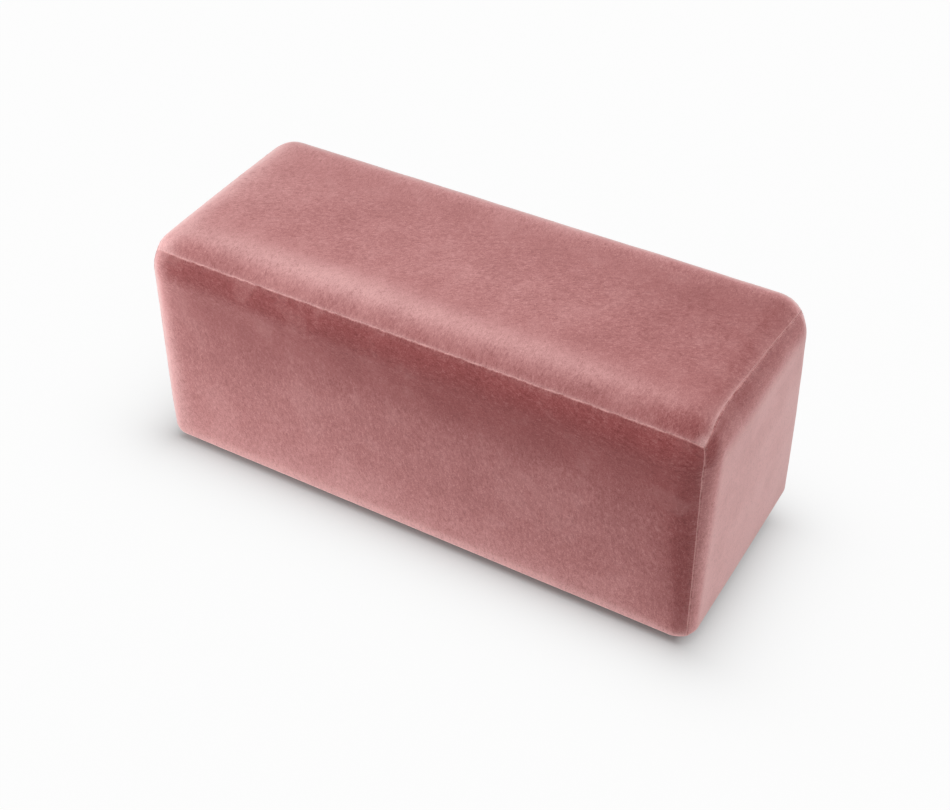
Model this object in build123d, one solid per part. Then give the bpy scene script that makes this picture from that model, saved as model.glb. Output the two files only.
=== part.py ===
from build123d import *
import os
from math import sqrt

# A bench covered all over in velvet: a webbed and boarded timber frame, padded, in a cover of five sewn panels.
# Millimetres. +X runs along the bench, the front faces -Y, +Z is up, and the origin is on the floor under the middle.

# Covered body
length = 1100
width = 450
height = 463  # floor to the middle of the crowned seat
crown = 5  # fall of the seat from its middle to its front and rear
edge_radius = 50  # soft edges round the seat and down the corners
base_radius = 16  # where the cover turns under

# Cover and padding, from outside in
velvet = 2.5
wadding = 5
hem_width = 40  # cover turned under the frame
seam_gap = 0.8  # the groove between two folded edges
seat_foam_thickness = 65
hessian_thickness = 1

# Underside
dust_cloth = 1
dust_cover_inset = 32  # base outline to the cloth's edge
glide_height = 14
glide_radius = 22
glide_foot_radius = 19  # flat part that meets the floor
glide_foot_rise = 3  # height of the bevel round it
glide_from_end = 52  # base outline to the glide's middle
glide_from_front = 51

# Timber frame
frame_inset = 38  # base outline to the outer faces of the boards
board_thickness = 4
post_side = 45
rail_thickness = 22
bottom_rail_height = 60
top_rail_height = 50
cross_rail_height = 30
stud_width = 45
stud_from_middle = 160
corner_block_leg = 120
corner_block_height = 32

# Seat webbing
strap_width = 50
strap_thickness = 2
strap_slack = 0.2  # between two straps where they cross
strap_ramp = 10  # length over which a strap climbs over another
strap_end_margin = 3  # strap's end to the frame's outer face
plateau_margin = 2  # how far a raised stretch runs past the strap below
crosswise_straps = 7
lengthwise_straps = 3

# Nails and staples
nail_length = 24  # above the glide that its head is moulded into
nail_radius = 1.6
staple_crown = 12
staple_leg = 8
staple_wire = 1
seat_rail_drop = 18  # cross rails lie this far under the webbing

overrun = 10  # how far a cutting form passes the piece that it cuts

# Levels and faces that follow from these
body_bottom = glide_height + dust_cloth
frame_bottom = body_bottom + velvet
deck_top = height - velvet - wadding - seat_foam_thickness
deck_bottom = deck_top - hessian_thickness
strap_rise = strap_thickness + strap_slack
frame_top = deck_bottom - strap_thickness - strap_rise
board_x = length / 2 - frame_inset
board_y = width / 2 - frame_inset
timber_x = board_x - board_thickness
timber_y = board_y - board_thickness
post_inner_x = timber_x - post_side
post_inner_y = timber_y - post_side
rail_inner_x = timber_x - rail_thickness
rail_inner_y = timber_y - rail_thickness
bottom_rail = (frame_bottom, frame_bottom + bottom_rail_height)
top_rail = (frame_top - top_rail_height, frame_top)
glide_x = length / 2 - glide_from_end
glide_y = width / 2 - glide_from_front

parts = {}


def block(x, y, z):
    """A box between the two bounds that each of x, y and z gives."""
    sizes = [high - low for low, high in (x, y, z)]
    return Pos(x[0], y[0], z[0]) * Box(*sizes, align=(Align.MIN,) * 3)


def to_rear(piece):
    """The piece's twin on the other long side."""
    return mirror(piece, about=Plane.XZ)


def to_left(piece):
    """The piece's twin on the other end."""
    return mirror(piece, about=Plane.YZ)


def reaches(one, other):
    """Whether the boxes round two pieces meet."""
    a, b = one.bounding_box(), other.bounding_box()
    return all(
        low <= high
        for low, high in zip((*a.min, *b.min), (*b.max, *a.max))
    )


def bored(piece, fasteners):
    """The piece with a hole for each fastener that reaches it."""
    near = [fastener for fastener in fasteners if reaches(piece, fastener)]
    return piece - near if near else piece


# Soft outer form, which the cover and the padding share


def soft_form(inset, ease=fillet):
    """The covered body's form, crowned from front to rear, drawn in all round by inset, with its edges eased."""
    reach = width / 2
    bend = (reach**2 + crown**2) / (2 * crown)
    side, base, peak = reach - inset, body_bottom + inset, height - inset
    shoulder = height - bend + sqrt((bend - inset) ** 2 - side**2)
    seat = ThreePointArc((0, -side, shoulder), (0, 0, peak), (0, side, shoulder))
    walls = Polyline((0, side, shoulder), (0, side, base), (0, -side, base), (0, -side, shoulder))
    body = extrude(make_face([seat, walls]), length / 2 - inset, both=True)
    under = body.faces().sort_by(Axis.Z)[0].edges()
    body = ease([edge for edge in body.edges() if edge not in under], edge_radius - inset)
    return ease(body.faces().sort_by(Axis.Z)[0].edges(), base_radius - inset)


def seat_wedge(drop):
    """All above the mitre planes that run down and in from the seat's sharp edges, lowered by drop."""
    seam_level = height - crown - drop
    spread = crown + overrun
    upper = Rectangle(length + 2 * spread, width + 2 * spread)
    lower = Rectangle(length - 2 * edge_radius, width - 2 * edge_radius)
    return loft([Pos(0, 0, seam_level - edge_radius) * lower, Pos(0, 0, seam_level + spread) * upper])


def side_wedges(gap):
    """What lies nearest to the front and to the right, between upright mitre planes, narrower by gap."""
    x, y = length / 2, width / 2
    out = overrun
    cut = gap * sqrt(2)
    front = Polygon(
        (-x - out + cut, -y - out), (x + out - cut, -y - out), (x - y - cut, 0), (y - x + cut, 0), align=None
    )
    right = Polygon((x + out, -y - out + cut), (x + out, y + out - cut), (x - y + cut, 0), align=None)
    return extrude(front, height + overrun), extrude(right, height + overrun)


def both_sides(name, front, right):
    """Keeps the front and right pieces, and their twins at the rear and the left, under names made from name."""
    parts[name.format("front")] = front
    parts[name.format("rear")] = to_rear(front)
    parts[name.format("right")] = right
    parts[name.format("left")] = to_left(right)


# Staples


def staple():
    """A wire staple whose legs point up, with its crown along X and its outer face at the origin."""
    half, wire = staple_crown / 2, staple_wire
    section = Polygon(
        (-half, 0), (half, 0), (half, staple_leg), (half - wire, staple_leg), (half - wire, wire),
        (wire - half, wire), (wire - half, staple_leg), (-half, staple_leg), align=None,
    )
    return extrude(Plane.XZ * section, wire / 2, both=True)


def spaced(half_span, pitch):
    """Even places along a span, about a pitch apart."""
    count = max(2, round(2 * half_span / pitch))
    return [half_span * (2 * i + 1 - count) / count for i in range(count)]


glide_places = [(end * glide_x, side * glide_y) for end in (-1, 1) for side in (-1, 1)]
nail = Cylinder(nail_radius, nail_length, align=(Align.CENTER, Align.CENTER, Align.MIN))
nails = [Pos(x, y, glide_height) * nail for x, y in glide_places]

# Timber frame

corner_post = block((post_inner_x, timber_x), (-timber_y, -post_inner_y), (frame_bottom, frame_top))
right_posts = {"front": corner_post, "rear": to_rear(corner_post)}
for side, post in right_posts.items():
    parts[f"corner_post_{side}_right"] = bored(post, nails)
    parts[f"corner_post_{side}_left"] = bored(to_left(post), nails)

for name, levels in (("bottom_rail_{}", bottom_rail), ("top_rail_{}", top_rail)):
    front = block((-post_inner_x, post_inner_x), (-timber_y, -rail_inner_y), levels)
    right = block((rail_inner_x, timber_x), (-post_inner_y, post_inner_y), levels)
    both_sides(name, front, right)

stud = block(
    (stud_from_middle - stud_width / 2, stud_from_middle + stud_width / 2),
    (-timber_y, -rail_inner_y),
    (bottom_rail[1], top_rail[0]),
)
cross_x = (stud_from_middle - rail_thickness / 2, stud_from_middle + rail_thickness / 2)
seat_rail_top = frame_top - seat_rail_drop
bottom_cross_rail = block(cross_x, (-rail_inner_y, rail_inner_y), bottom_rail)
seat_cross_rail = block(cross_x, (-rail_inner_y, rail_inner_y), (seat_rail_top - cross_rail_height, seat_rail_top))
for end, placed in (("right", lambda piece: piece), ("left", to_left)):
    parts[f"stud_front_{end}"] = placed(stud)
    parts[f"stud_rear_{end}"] = to_rear(placed(stud))
    parts[f"bottom_cross_rail_{end}"] = placed(bottom_cross_rail)
    parts[f"seat_cross_rail_{end}"] = placed(seat_cross_rail)

brace = Polygon(
    (rail_inner_x, -rail_inner_y),
    (rail_inner_x, corner_block_leg - rail_inner_y),
    (rail_inner_x - corner_block_leg, -rail_inner_y),
    align=None,
)
brace = Pos(0, 0, frame_bottom) * extrude(brace, corner_block_height) - corner_post
for side, placed in (("front", brace), ("rear", to_rear(brace))):
    parts[f"corner_block_{side}_right"] = placed
    parts[f"corner_block_{side}_left"] = to_left(placed)

board_levels = (frame_bottom, deck_bottom)
both_sides(
    "board_{}",
    block((-board_x, board_x), (-board_y, -timber_y), board_levels),
    block((timber_x, board_x), (-timber_y, timber_y), board_levels),
)

# Woven seat webbing


def strap(half_run, crossings, goes_over_first):
    """A strap along X that climbs over every second strap that it crosses."""
    low = [(-half_run, 0)]
    plateau = strap_width / 2 + plateau_margin
    for i, middle in enumerate(crossings):
        if (i % 2 == 0) == goes_over_first:
            low += [(middle - plateau - strap_ramp, 0), (middle - plateau, strap_rise)]
            low += [(middle + plateau, strap_rise), (middle + plateau + strap_ramp, 0)]
    low.append((half_run, 0))
    high = [(x, z + strap_thickness) for x, z in reversed(low)]
    section = Polygon(*low, *high, align=None)
    return Pos(0, 0, frame_top) * extrude(Plane.XZ * section, strap_width / 2, both=True)


def strap_end_staples(half_run):
    """The staple in each end of a strap along X."""
    turned = Rot(0, 0, 90) * Rot(180, 0, 0) * staple()
    level = frame_top + strap_thickness + staple_wire
    reach = half_run + strap_end_margin - rail_thickness / 2
    return [Pos(end * reach, 0, level) * turned for end in (-1, 1)]


quarter_turn = Rot(0, 0, 90)
strap_x = spaced(post_inner_x, 2 * post_inner_x / crosswise_straps)
strap_y = spaced(post_inner_y, 2 * post_inner_y / lengthwise_straps)
half_along, half_across = timber_x - strap_end_margin, timber_y - strap_end_margin
lengthwise, crosswise, strap_staples = [], [], []
for j, y in enumerate(strap_y):
    lengthwise.append(Pos(0, y, 0) * strap(half_along, strap_x, j % 2 == 1))
    strap_staples += [Pos(0, y, 0) * one for one in strap_end_staples(half_along)]
for i, x in enumerate(strap_x):
    crosswise.append(Pos(x, 0, 0) * quarter_turn * strap(half_across, strap_y, i % 2 == 0))
    strap_staples += [Pos(x, 0, 0) * quarter_turn * one for one in strap_end_staples(half_across)]

parts["webbing_lengthwise"] = Compound([bored(one, strap_staples) for one in lengthwise])
parts["webbing_crosswise"] = Compound([bored(one, strap_staples) for one in crosswise])
parts["webbing_staples"] = Compound(strap_staples)
for name in [n for n in parts if n.startswith("top_rail")]:
    parts[name] = bored(parts[name], strap_staples)
parts["seat_hessian"] = block((-board_x, board_x), (-board_y, board_y), (deck_bottom, deck_top))

# Foam, wadding and the sewn cover

lining, padding = soft_form(velvet), soft_form(velvet, ease=chamfer)
frame_block = block((-board_x, board_x), (-board_y, board_y), (0, deck_top))
above_deck = block((-length, length), (-width, width), (deck_top, height))
front_side, right_side = side_wedges(0)

flat_x, flat_y = length / 2 - edge_radius, width / 2 - edge_radius
flat_levels = (body_bottom + base_radius, deck_top)
seat_flat = block((-flat_x, flat_x), (-flat_y, flat_y), (deck_top, height))
parts["seat_wadding"] = (padding - soft_form(velvet + wadding)) & seat_flat
face_x, face_y = length / 2 - velvet, width / 2 - velvet
front_wadding = block((-flat_x, flat_x), (-face_y, wadding - face_y), flat_levels)
right_wadding = block((face_x - wadding, face_x), (-flat_y, flat_y), flat_levels)
parts["side_wadding"] = Compound([front_wadding, to_rear(front_wadding), right_wadding, to_left(right_wadding)])

parts["seat_foam"] = (padding & above_deck) - parts["seat_wadding"]
side_foam = padding - above_deck - frame_block
both_sides("side_foam_{}", (side_foam & front_side) - front_wadding, (side_foam & right_side) - right_wadding)

hem_opening = block(
    (hem_width - board_x, board_x - hem_width), (hem_width - board_y, board_y - hem_width), (0, frame_bottom)
)
cover = soft_form(0) - lining - hem_opening
half_gap = seam_gap / 2
parts["cover_top"] = cover & seat_wedge(-half_gap * sqrt(2))
side_cover = cover - seat_wedge(half_gap * sqrt(2))
front_narrow, right_narrow = side_wedges(half_gap)
both_sides("cover_{}", side_cover & front_narrow, side_cover & right_narrow)
for name in ("cover_front", "cover_rear", "cover_left", "cover_right"):
    parts[name] = bored(parts[name], nails)

# Underside

cloth_x, cloth_y = length / 2 - dust_cover_inset, width / 2 - dust_cover_inset
cloth = block((-cloth_x, cloth_x), (-cloth_y, cloth_y), (glide_height, body_bottom))
parts["dust_cover"] = bored(cloth, nails)

glide_section = Polygon(
    (0, 0), (glide_foot_radius, 0), (glide_radius, glide_foot_rise), (glide_radius, glide_height), (0, glide_height),
    align=None,
)
glide = revolve(Plane.XZ * glide_section, Axis.Z)
parts["glides"] = Compound([Pos(x, y, 0) * glide for x, y in glide_places])
parts["glide_nails"] = Compound(nails)

os.makedirs("parts", exist_ok=True)
for name, piece in parts.items():
    export_step(piece, f"parts/{name}.step")
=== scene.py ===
"""The looks of a velvet bench: a sewn cover over padding, webbing and a timber frame, on low glides."""

import logging
import math
from collections.abc import Callable, Sequence
from dataclasses import dataclass, field
from enum import Enum

import bpy
import numpy as np
from mathutils import Matrix, Vector


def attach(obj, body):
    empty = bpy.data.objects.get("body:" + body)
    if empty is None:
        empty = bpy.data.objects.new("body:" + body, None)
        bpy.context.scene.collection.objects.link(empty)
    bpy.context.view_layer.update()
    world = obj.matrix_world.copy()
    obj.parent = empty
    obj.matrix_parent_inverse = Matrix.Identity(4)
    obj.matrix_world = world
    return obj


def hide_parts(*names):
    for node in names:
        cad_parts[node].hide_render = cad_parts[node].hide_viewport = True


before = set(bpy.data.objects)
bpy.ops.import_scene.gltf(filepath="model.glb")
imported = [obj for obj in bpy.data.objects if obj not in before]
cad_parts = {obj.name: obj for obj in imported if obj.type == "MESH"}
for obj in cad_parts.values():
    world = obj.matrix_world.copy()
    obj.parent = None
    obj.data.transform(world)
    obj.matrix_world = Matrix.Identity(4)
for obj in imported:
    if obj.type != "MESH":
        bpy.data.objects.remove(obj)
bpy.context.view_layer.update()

log = logging.getLogger("bench")

BODY = "root"
TINY = 1e-12

Colour = tuple[float, float, float, float]
Triple = tuple[float, float, float]


class Side(Enum):
    """An upright side of the bench: its word in the names of pieces and nodes, and whether it runs along X."""

    FRONT = ("front", True)
    REAR = ("rear", True)
    RIGHT = ("right", False)
    LEFT = ("left", False)

    def __init__(self, word: str, is_long: bool) -> None:
        """Keeps the two facts of a side."""
        self.word = word
        self.is_long = is_long


class Along(Enum):
    """The direction in which a timber's grain runs, with the turn that brings it to X."""

    X = (0.0, 0.0, 0.0)
    Y = (0.0, 0.0, -math.pi / 2)
    Z = (0.0, math.pi / 2, 0.0)


def rgb(red: int, green: int, blue: int) -> Colour:
    """Turns a screen colour into the linear colour that a shader takes.

    Args:
        red: Its red, from 0 to 255.
        green: Its green.
        blue: Its blue.

    Returns:
        The linear colour, opaque.
    """
    parts = [value / 255 for value in (red, green, blue)]
    linear = [part / 12.92 if part <= 0.04045 else ((part + 0.055) / 1.055) ** 2.4 for part in parts]
    return (*linear, 1.0)


# Node graphs


class Graph:
    """Adds and joins the nodes of one material or node group."""

    def __init__(self, tree: bpy.types.NodeTree) -> None:
        """Keeps the tree that nodes are added to."""
        self.tree = tree

    def feed(self, socket: bpy.types.NodeSocket, value: object) -> None:
        """Links a socket into another, or sets its own value.

        Args:
            socket: The socket that is fed.
            value: A socket, or a plain value.
        """
        if isinstance(value, bpy.types.NodeSocket):
            self.tree.links.new(value, socket)
        else:
            socket.default_value = value

    def add(self, kind: str, inputs: dict[str | int, object] | None = None, **settings: object) -> bpy.types.Node:
        """Adds a shader node.

        Args:
            kind: Node type without its ShaderNode prefix.
            inputs: Values or sockets for the node's inputs, by name or place.
            settings: The node's own settings.

        Returns:
            The new node.
        """
        node = self.tree.nodes.new("ShaderNode" + kind)
        for name, value in settings.items():
            setattr(node, name, value)
        for name, value in (inputs or {}).items():
            self.feed(node.inputs[name], value)
        return node

    def operate(
        self, operation: str, first: object, second: object = 0.0, clamp: bool = False
    ) -> bpy.types.NodeSocket:
        """Works out one Math operation on two values."""
        return self.add("Math", {0: first, 1: second}, operation=operation, use_clamp=clamp).outputs[0]

    def plus(self, first: object, second: object) -> bpy.types.NodeSocket:
        """Adds two values."""
        return self.operate("ADD", first, second)

    def minus(self, first: object, second: object, clamp: bool = False) -> bpy.types.NodeSocket:
        """Takes the second value from the first."""
        return self.operate("SUBTRACT", first, second, clamp)

    def times(self, first: object, second: object) -> bpy.types.NodeSocket:
        """Multiplies two values."""
        return self.operate("MULTIPLY", first, second)

    def weighed(self, first: tuple[object, float], second: tuple[object, float]) -> bpy.types.NodeSocket:
        """Adds two values, each times its own weight."""
        return self.plus(self.times(*first), self.times(*second))

    def between(
        self, value: object, low: object, high: object, to_low: object = 0.0, to_high: object = 1.0
    ) -> bpy.types.NodeSocket:
        """Maps a value smoothly from one range to another, and holds it at the ends."""
        inputs = {"Value": value, "From Min": low, "From Max": high, "To Min": to_low, "To Max": to_high}
        return self.add("MapRange", inputs, interpolation_type="SMOOTHSTEP").outputs[0]

    def mix(self, share: object, first: object, second: object, way: str = "MIX") -> bpy.types.NodeSocket:
        """Mixes two colours.

        Args:
            share: How much of the second colour shows.
            first: The colour underneath.
            second: The colour laid over it.
            way: Blend type of the Mix node.

        Returns:
            The mixed colour.
        """
        node = self.add("Mix", data_type="RGBA", blend_type=way)
        for place, value in ((0, share), (6, first), (7, second)):
            self.feed(node.inputs[place], value)
        return node.outputs[2]

    def stretched(self, vector: object, scale: Triple) -> bpy.types.NodeSocket:
        """Multiplies a vector by a scale for each axis."""
        return self.add("VectorMath", {0: vector, 1: scale}, operation="MULTIPLY").outputs[0]

    def noise(
        self, vector: object, scale: object, detail: float = 2.0, roughness: float = 0.5, distortion: float = 0.0
    ) -> bpy.types.NodeSocket:
        """Adds a noise and gives its value."""
        inputs = {"Vector": vector, "Scale": scale, "Detail": detail, "Roughness": roughness, "Distortion": distortion}
        return self.add("TexNoise", inputs).outputs[0]

    def layer(self, name: str, output: str = "Fac") -> bpy.types.NodeSocket:
        """Reads a layer that the meshes carry."""
        return self.add("Attribute", attribute_name=name).outputs[output]

    def group(self, tree: bpy.types.NodeTree, inputs: dict[str, object]) -> dict[str, bpy.types.NodeSocket]:
        """Places a node group.

        Args:
            tree: The group.
            inputs: Values or sockets for its inputs.

        Returns:
            The group's outputs, by name.
        """
        node = self.add("Group", node_tree=tree)
        for name, value in inputs.items():
            self.feed(node.inputs[name], value)
        return {socket.name: socket for socket in node.outputs}


@dataclass(frozen=True)
class Socket:
    """One named input of a shader node group."""

    name: str
    kind: str = "Float"
    start: float | None = None


def make_group(
    name: str, inputs: Sequence[Socket], outputs: Sequence[str], build: Callable[[Graph, dict], dict]
) -> bpy.types.NodeTree:
    """Makes a shader node group once, and finds it again after that.

    Args:
        name: The group's name.
        inputs: Its named inputs.
        outputs: Names of its outputs, each a plain value.
        build: Adds the nodes, taking the graph and the input sockets, and giving what feeds each output.

    Returns:
        The group.
    """
    found = bpy.data.node_groups.get(name)
    if found:
        return found
    tree = bpy.data.node_groups.new(name, "ShaderNodeTree")
    for socket in inputs:
        made = tree.interface.new_socket(socket.name, in_out="INPUT", socket_type="NodeSocket" + socket.kind)
        if socket.start is not None:
            made.default_value = socket.start
    for output in outputs:
        tree.interface.new_socket(output, in_out="OUTPUT", socket_type="NodeSocketFloat")
    graph = Graph(tree)
    entry, leave = tree.nodes.new("NodeGroupInput"), tree.nodes.new("NodeGroupOutput")
    results = build(graph, {socket.name: entry.outputs[socket.name] for socket in inputs})
    for output, value in results.items():
        graph.feed(leave.inputs[output], value)
    return tree


@dataclass(frozen=True)
class Strokes:
    """One size of strokes in a nap: how many fit in a metre each way, how ragged they are, and how much they show."""

    per_m: Triple
    detail: float
    roughness: float
    distortion: float
    weight: float

    def weighed(self, graph: Graph, place: bpy.types.NodeSocket) -> tuple[bpy.types.NodeSocket, float]:
        """The strokes at a place, with their weight."""
        noise = graph.noise(graph.stretched(place, self.per_m), 1.0, self.detail, self.roughness, self.distortion)
        return noise, self.weight


FINE_STROKES = Strokes((350.0, 150.0, 0.0), 3.0, 0.7, 1.1, 0.45)
LOCKS = Strokes((150.0, 85.0, 0.0), 2.0, 0.6, 0.8, 0.27)
GRIT_PER_M = 480.0
GRIT_WEIGHT = 0.38
HAIRS_PER_M = 420.0
HAIR_BENDS_PER_M = 70.0
HAIR_REACH = 0.030
# width of the painted sheen line along a seam's ridge
SHEEN_LINE_WIDTH = 0.0054


def brushed_pile() -> bpy.types.NodeTree:
    """The nap of a short pile: soft patches, fine strokes, the hairs that stand along a seam and a painted sheen line
    on it.

    Returns:
        The node group.
    """

    def build(graph: Graph, given: dict) -> dict:
        """Adds the patches, strokes and seam hairs, and the painted sheen line.

        Args:
            graph: The group's graph.
            given: Its inputs, by name.

        Returns:
            What feeds each output.
        """
        cloth, brush, comb, seam, run = (given[name] for name in ("Cloth", "Brush", "Comb", "Seam", "Run"))
        cloud = graph.noise(cloth, given["Patches per m"], 4.0, 0.62, 0.25)
        sweep = graph.noise(graph.stretched(brush, (1.0, 0.35, 1.0)), given["Sweeps per m"], 2.0, 0.5)
        patches = graph.weighed((cloud, 0.6), (sweep, 0.4))
        ways = []
        for place in (brush, comb):
            ways.append(graph.weighed(FINE_STROKES.weighed(graph, place), LOCKS.weighed(graph, place)))
        combed = graph.add("SeparateXYZ", {0: comb}).outputs[2]
        flow = graph.add("Mix", {0: combed, 2: ways[0], 3: ways[1]}).outputs[0]
        grit = graph.noise(brush, GRIT_PER_M, 2.0, 0.8)
        fine = graph.plus(flow, graph.times(grit, GRIT_WEIGHT))
        beside = {0: graph.times(run, HAIRS_PER_M), 1: graph.times(seam, HAIR_BENDS_PER_M)}
        lanes = graph.add("CombineXYZ", beside).outputs[0]
        hair = graph.noise(lanes, 1.0, 3.0, 0.7, 0.4)
        reach = graph.times(graph.noise(lanes, 0.1, 2.0), HAIR_REACH)
        near = graph.minus(1.0, graph.between(seam, 0.0005, reach))
        hairs = graph.times(graph.between(hair, 0.34, 0.72), near)
        broken = graph.between(graph.noise(lanes, 0.1, 3.0, 0.7), 0.35, 0.60)
        # painted sheen: a broken pale line along each seam's ridge
        line = graph.minus(1.0, graph.between(seam, 0.0, graph.times(hair, SHEEN_LINE_WIDTH)))
        return {
            "Patches": graph.between(patches, 0.36, 0.64),
            "Strokes": graph.between(fine, 0.38, 0.72),
            "Hairs": hairs,
            "Crest": graph.times(line, broken),
            "Height": graph.weighed((fine, 0.8), (hairs, 0.5)),
        }

    vectors = [Socket(name, "Vector") for name in ("Cloth", "Brush", "Comb")]
    values = [Socket("Seam"), Socket("Run"), Socket("Patches per m", start=13.0), Socket("Sweeps per m", start=9.0)]
    return make_group("brushed_pile", vectors + values, ("Patches", "Strokes", "Hairs", "Crest", "Height"), build)


def plain_weave() -> bpy.types.NodeTree:
    """A plain weave of round threads, with slubs.

    Returns:
        The node group.
    """

    def build(graph: Graph, given: dict) -> dict:
        """Adds warp, weft and slubs.

        Args:
            graph: The group's graph.
            given: Its inputs, by name.

        Returns:
            What feeds each output.
        """
        counted = {0: given["Cloth"], "Scale": given["Threads per m"]}
        scaled = graph.add("VectorMath", counted, operation="SCALE").outputs[0]
        wander = graph.noise(scaled, 0.35, 1.0)
        parts = graph.add("SeparateXYZ", {0: scaled})
        ways = []
        for across, lengthwise in ((0, 1), (1, 0)):
            place = graph.plus(parts.outputs[across], graph.times(wander, 0.35))
            inside = graph.operate("PINGPONG", place, 0.5)
            cell = graph.operate("FLOOR", place)
            wave = graph.plus(parts.outputs[lengthwise], graph.plus(cell, float(across)))
            lift = graph.operate("COSINE", graph.times(wave, math.pi))
            lift = graph.plus(graph.times(lift, 0.35), 0.65)
            ways.append(graph.times(graph.operate("SINE", graph.times(inside, math.pi)), lift))
        slub = graph.noise(graph.stretched(scaled, (0.12, 0.9, 1.0)), 1.0, 2.0)
        return {
            "Height": graph.operate("MAXIMUM", *ways),
            "Weft on top": graph.operate("GREATER_THAN", ways[1], ways[0]),
            "Slub": graph.between(slub, 0.35, 0.65),
        }

    inputs = (Socket("Cloth", "Vector"), Socket("Threads per m", start=500.0))
    return make_group("plain_weave", inputs, ("Height", "Weft on top", "Slub"), build)


def wood_figure() -> bpy.types.NodeTree:
    """Growth rings and fibres of a sawn board whose grain runs along the X of its input.

    Returns:
        The node group.
    """

    def build(graph: Graph, given: dict) -> dict:
        """Adds rings, fibres and pores.

        Args:
            graph: The group's graph.
            given: Its inputs, by name.

        Returns:
            What feeds each output.
        """
        point = given["Point"]
        bend = graph.noise(graph.stretched(point, (0.7, 4.0, 4.0)), 3.0, 2.0)
        wave = {
            "Vector": graph.stretched(point, (0.05, 1.0, 1.0)),
            "Scale": given["Rings per m"],
            "Distortion": 5.0,
            "Detail": 1.5,
            "Detail Scale": 0.6,
            "Phase Offset": graph.times(bend, 9.0),
        }
        rings = graph.add("TexWave", wave, wave_type="RINGS", rings_direction="X", wave_profile="SAW")
        fibres = graph.noise(graph.stretched(point, (12.0, 900.0, 900.0)), 1.0, 3.0, 0.6)
        pores = graph.noise(graph.stretched(point, (60.0, 1500.0, 1500.0)), 1.0, 1.0)
        return {"Rings": rings.outputs[1], "Fibres": fibres, "Pores": graph.between(pores, 0.6, 0.75)}

    inputs = (Socket("Point", "Vector"), Socket("Rings per m", start=30.0))
    return make_group("wood_figure", inputs, ("Rings", "Fibres", "Pores"), build)


def handled_wear() -> bpy.types.NodeTree:
    """Dust and light scuffs that lie on any hard or soft surface.

    Returns:
        The node group.
    """

    def build(graph: Graph, given: dict) -> dict:
        """Adds scuffs and dust.

        Args:
            graph: The group's graph.
            given: Its inputs, by name.

        Returns:
            What feeds each output.
        """
        scuff = graph.noise(graph.stretched(given["Point"], (30.0, 160.0, 90.0)), 1.0, 4.0, 0.7, 0.5)
        dust = graph.noise(given["Point"], given["Specks per m"], 3.0, 0.6)
        return {"Scuffs": graph.between(scuff, 0.55, 0.8), "Dust": graph.between(dust, 0.4, 0.75)}

    inputs = (Socket("Point", "Vector"), Socket("Specks per m", start=60.0))
    return make_group("handled_wear", inputs, ("Scuffs", "Dust"), build)


def open_cells() -> bpy.types.NodeTree:
    """Open cells or a loose tangle of fibres.

    Returns:
        The node group.
    """

    def build(graph: Graph, given: dict) -> dict:
        """Adds cells and tangle.

        Args:
            graph: The group's graph.
            given: Its inputs, by name.

        Returns:
            What feeds each output.
        """
        cells = graph.add("TexVoronoi", {"Vector": given["Point"], "Scale": given["Cells per m"]}, feature="F1")
        tangle = graph.noise(given["Point"], given["Cells per m"], 3.0, 0.7, 2.5)
        broad = graph.noise(given["Point"], 14.0, 2.0)
        return {"Cells": graph.between(cells.outputs["Distance"], 0.1, 0.7), "Tangle": tangle, "Broad": broad}

    inputs = (Socket("Point", "Vector"), Socket("Cells per m", start=700.0))
    return make_group("open_cells", inputs, ("Cells", "Tangle", "Broad"), build)


# Finishes


def new_material(name: str) -> tuple[bpy.types.Material, Graph, bpy.types.Node]:
    """Starts a material.

    Args:
        name: The material's name.

    Returns:
        The material, its graph, and its Principled shader.
    """
    material = bpy.data.materials.new(name)
    material.use_nodes = True
    graph = Graph(material.node_tree)
    shader = next(node for node in material.node_tree.nodes if node.type == "BSDF_PRINCIPLED")
    return material, graph, shader


def coat(
    graph: Graph,
    shader: bpy.types.Node,
    colour: object,
    roughness: object,
    height: object,
    relief: float,
    strength: float = 1.0,
) -> None:
    """Feeds a shader's colour and roughness, and raises its surface by a height.

    Args:
        graph: The material's graph.
        shader: Its shader.
        colour: Its colour.
        roughness: Its roughness.
        height: Its height, about 0 to 1.
        relief: What a height of one stands for, in metres.
        strength: How strongly the height shows.
    """
    graph.feed(shader.inputs["Base Color"], colour)
    graph.feed(shader.inputs["Roughness"], roughness)
    node = graph.add("Bump", {"Height": height, "Distance": relief, "Strength": strength})
    graph.feed(shader.inputs["Normal"], node.outputs[0])


def cloth_place(graph: Graph) -> bpy.types.NodeSocket:
    """The place on the flat cloth, in metres, that each sheet's mesh carries."""
    return graph.layer("cut", "Vector")


def object_place(graph: Graph) -> bpy.types.NodeSocket:
    """The place in the bench's own frame, in metres."""
    return graph.add("TexCoord").outputs["Object"]


@dataclass(frozen=True)
class Rise:
    """A share that rises smoothly from nothing at one value to its full at another."""

    start: float
    end: float
    full: float = 1.0

    def at(self, graph: Graph, value: bpy.types.NodeSocket) -> bpy.types.NodeSocket:
        """The share at a value."""
        return graph.between(value, self.start, self.end, 0.0, self.full)


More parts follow.
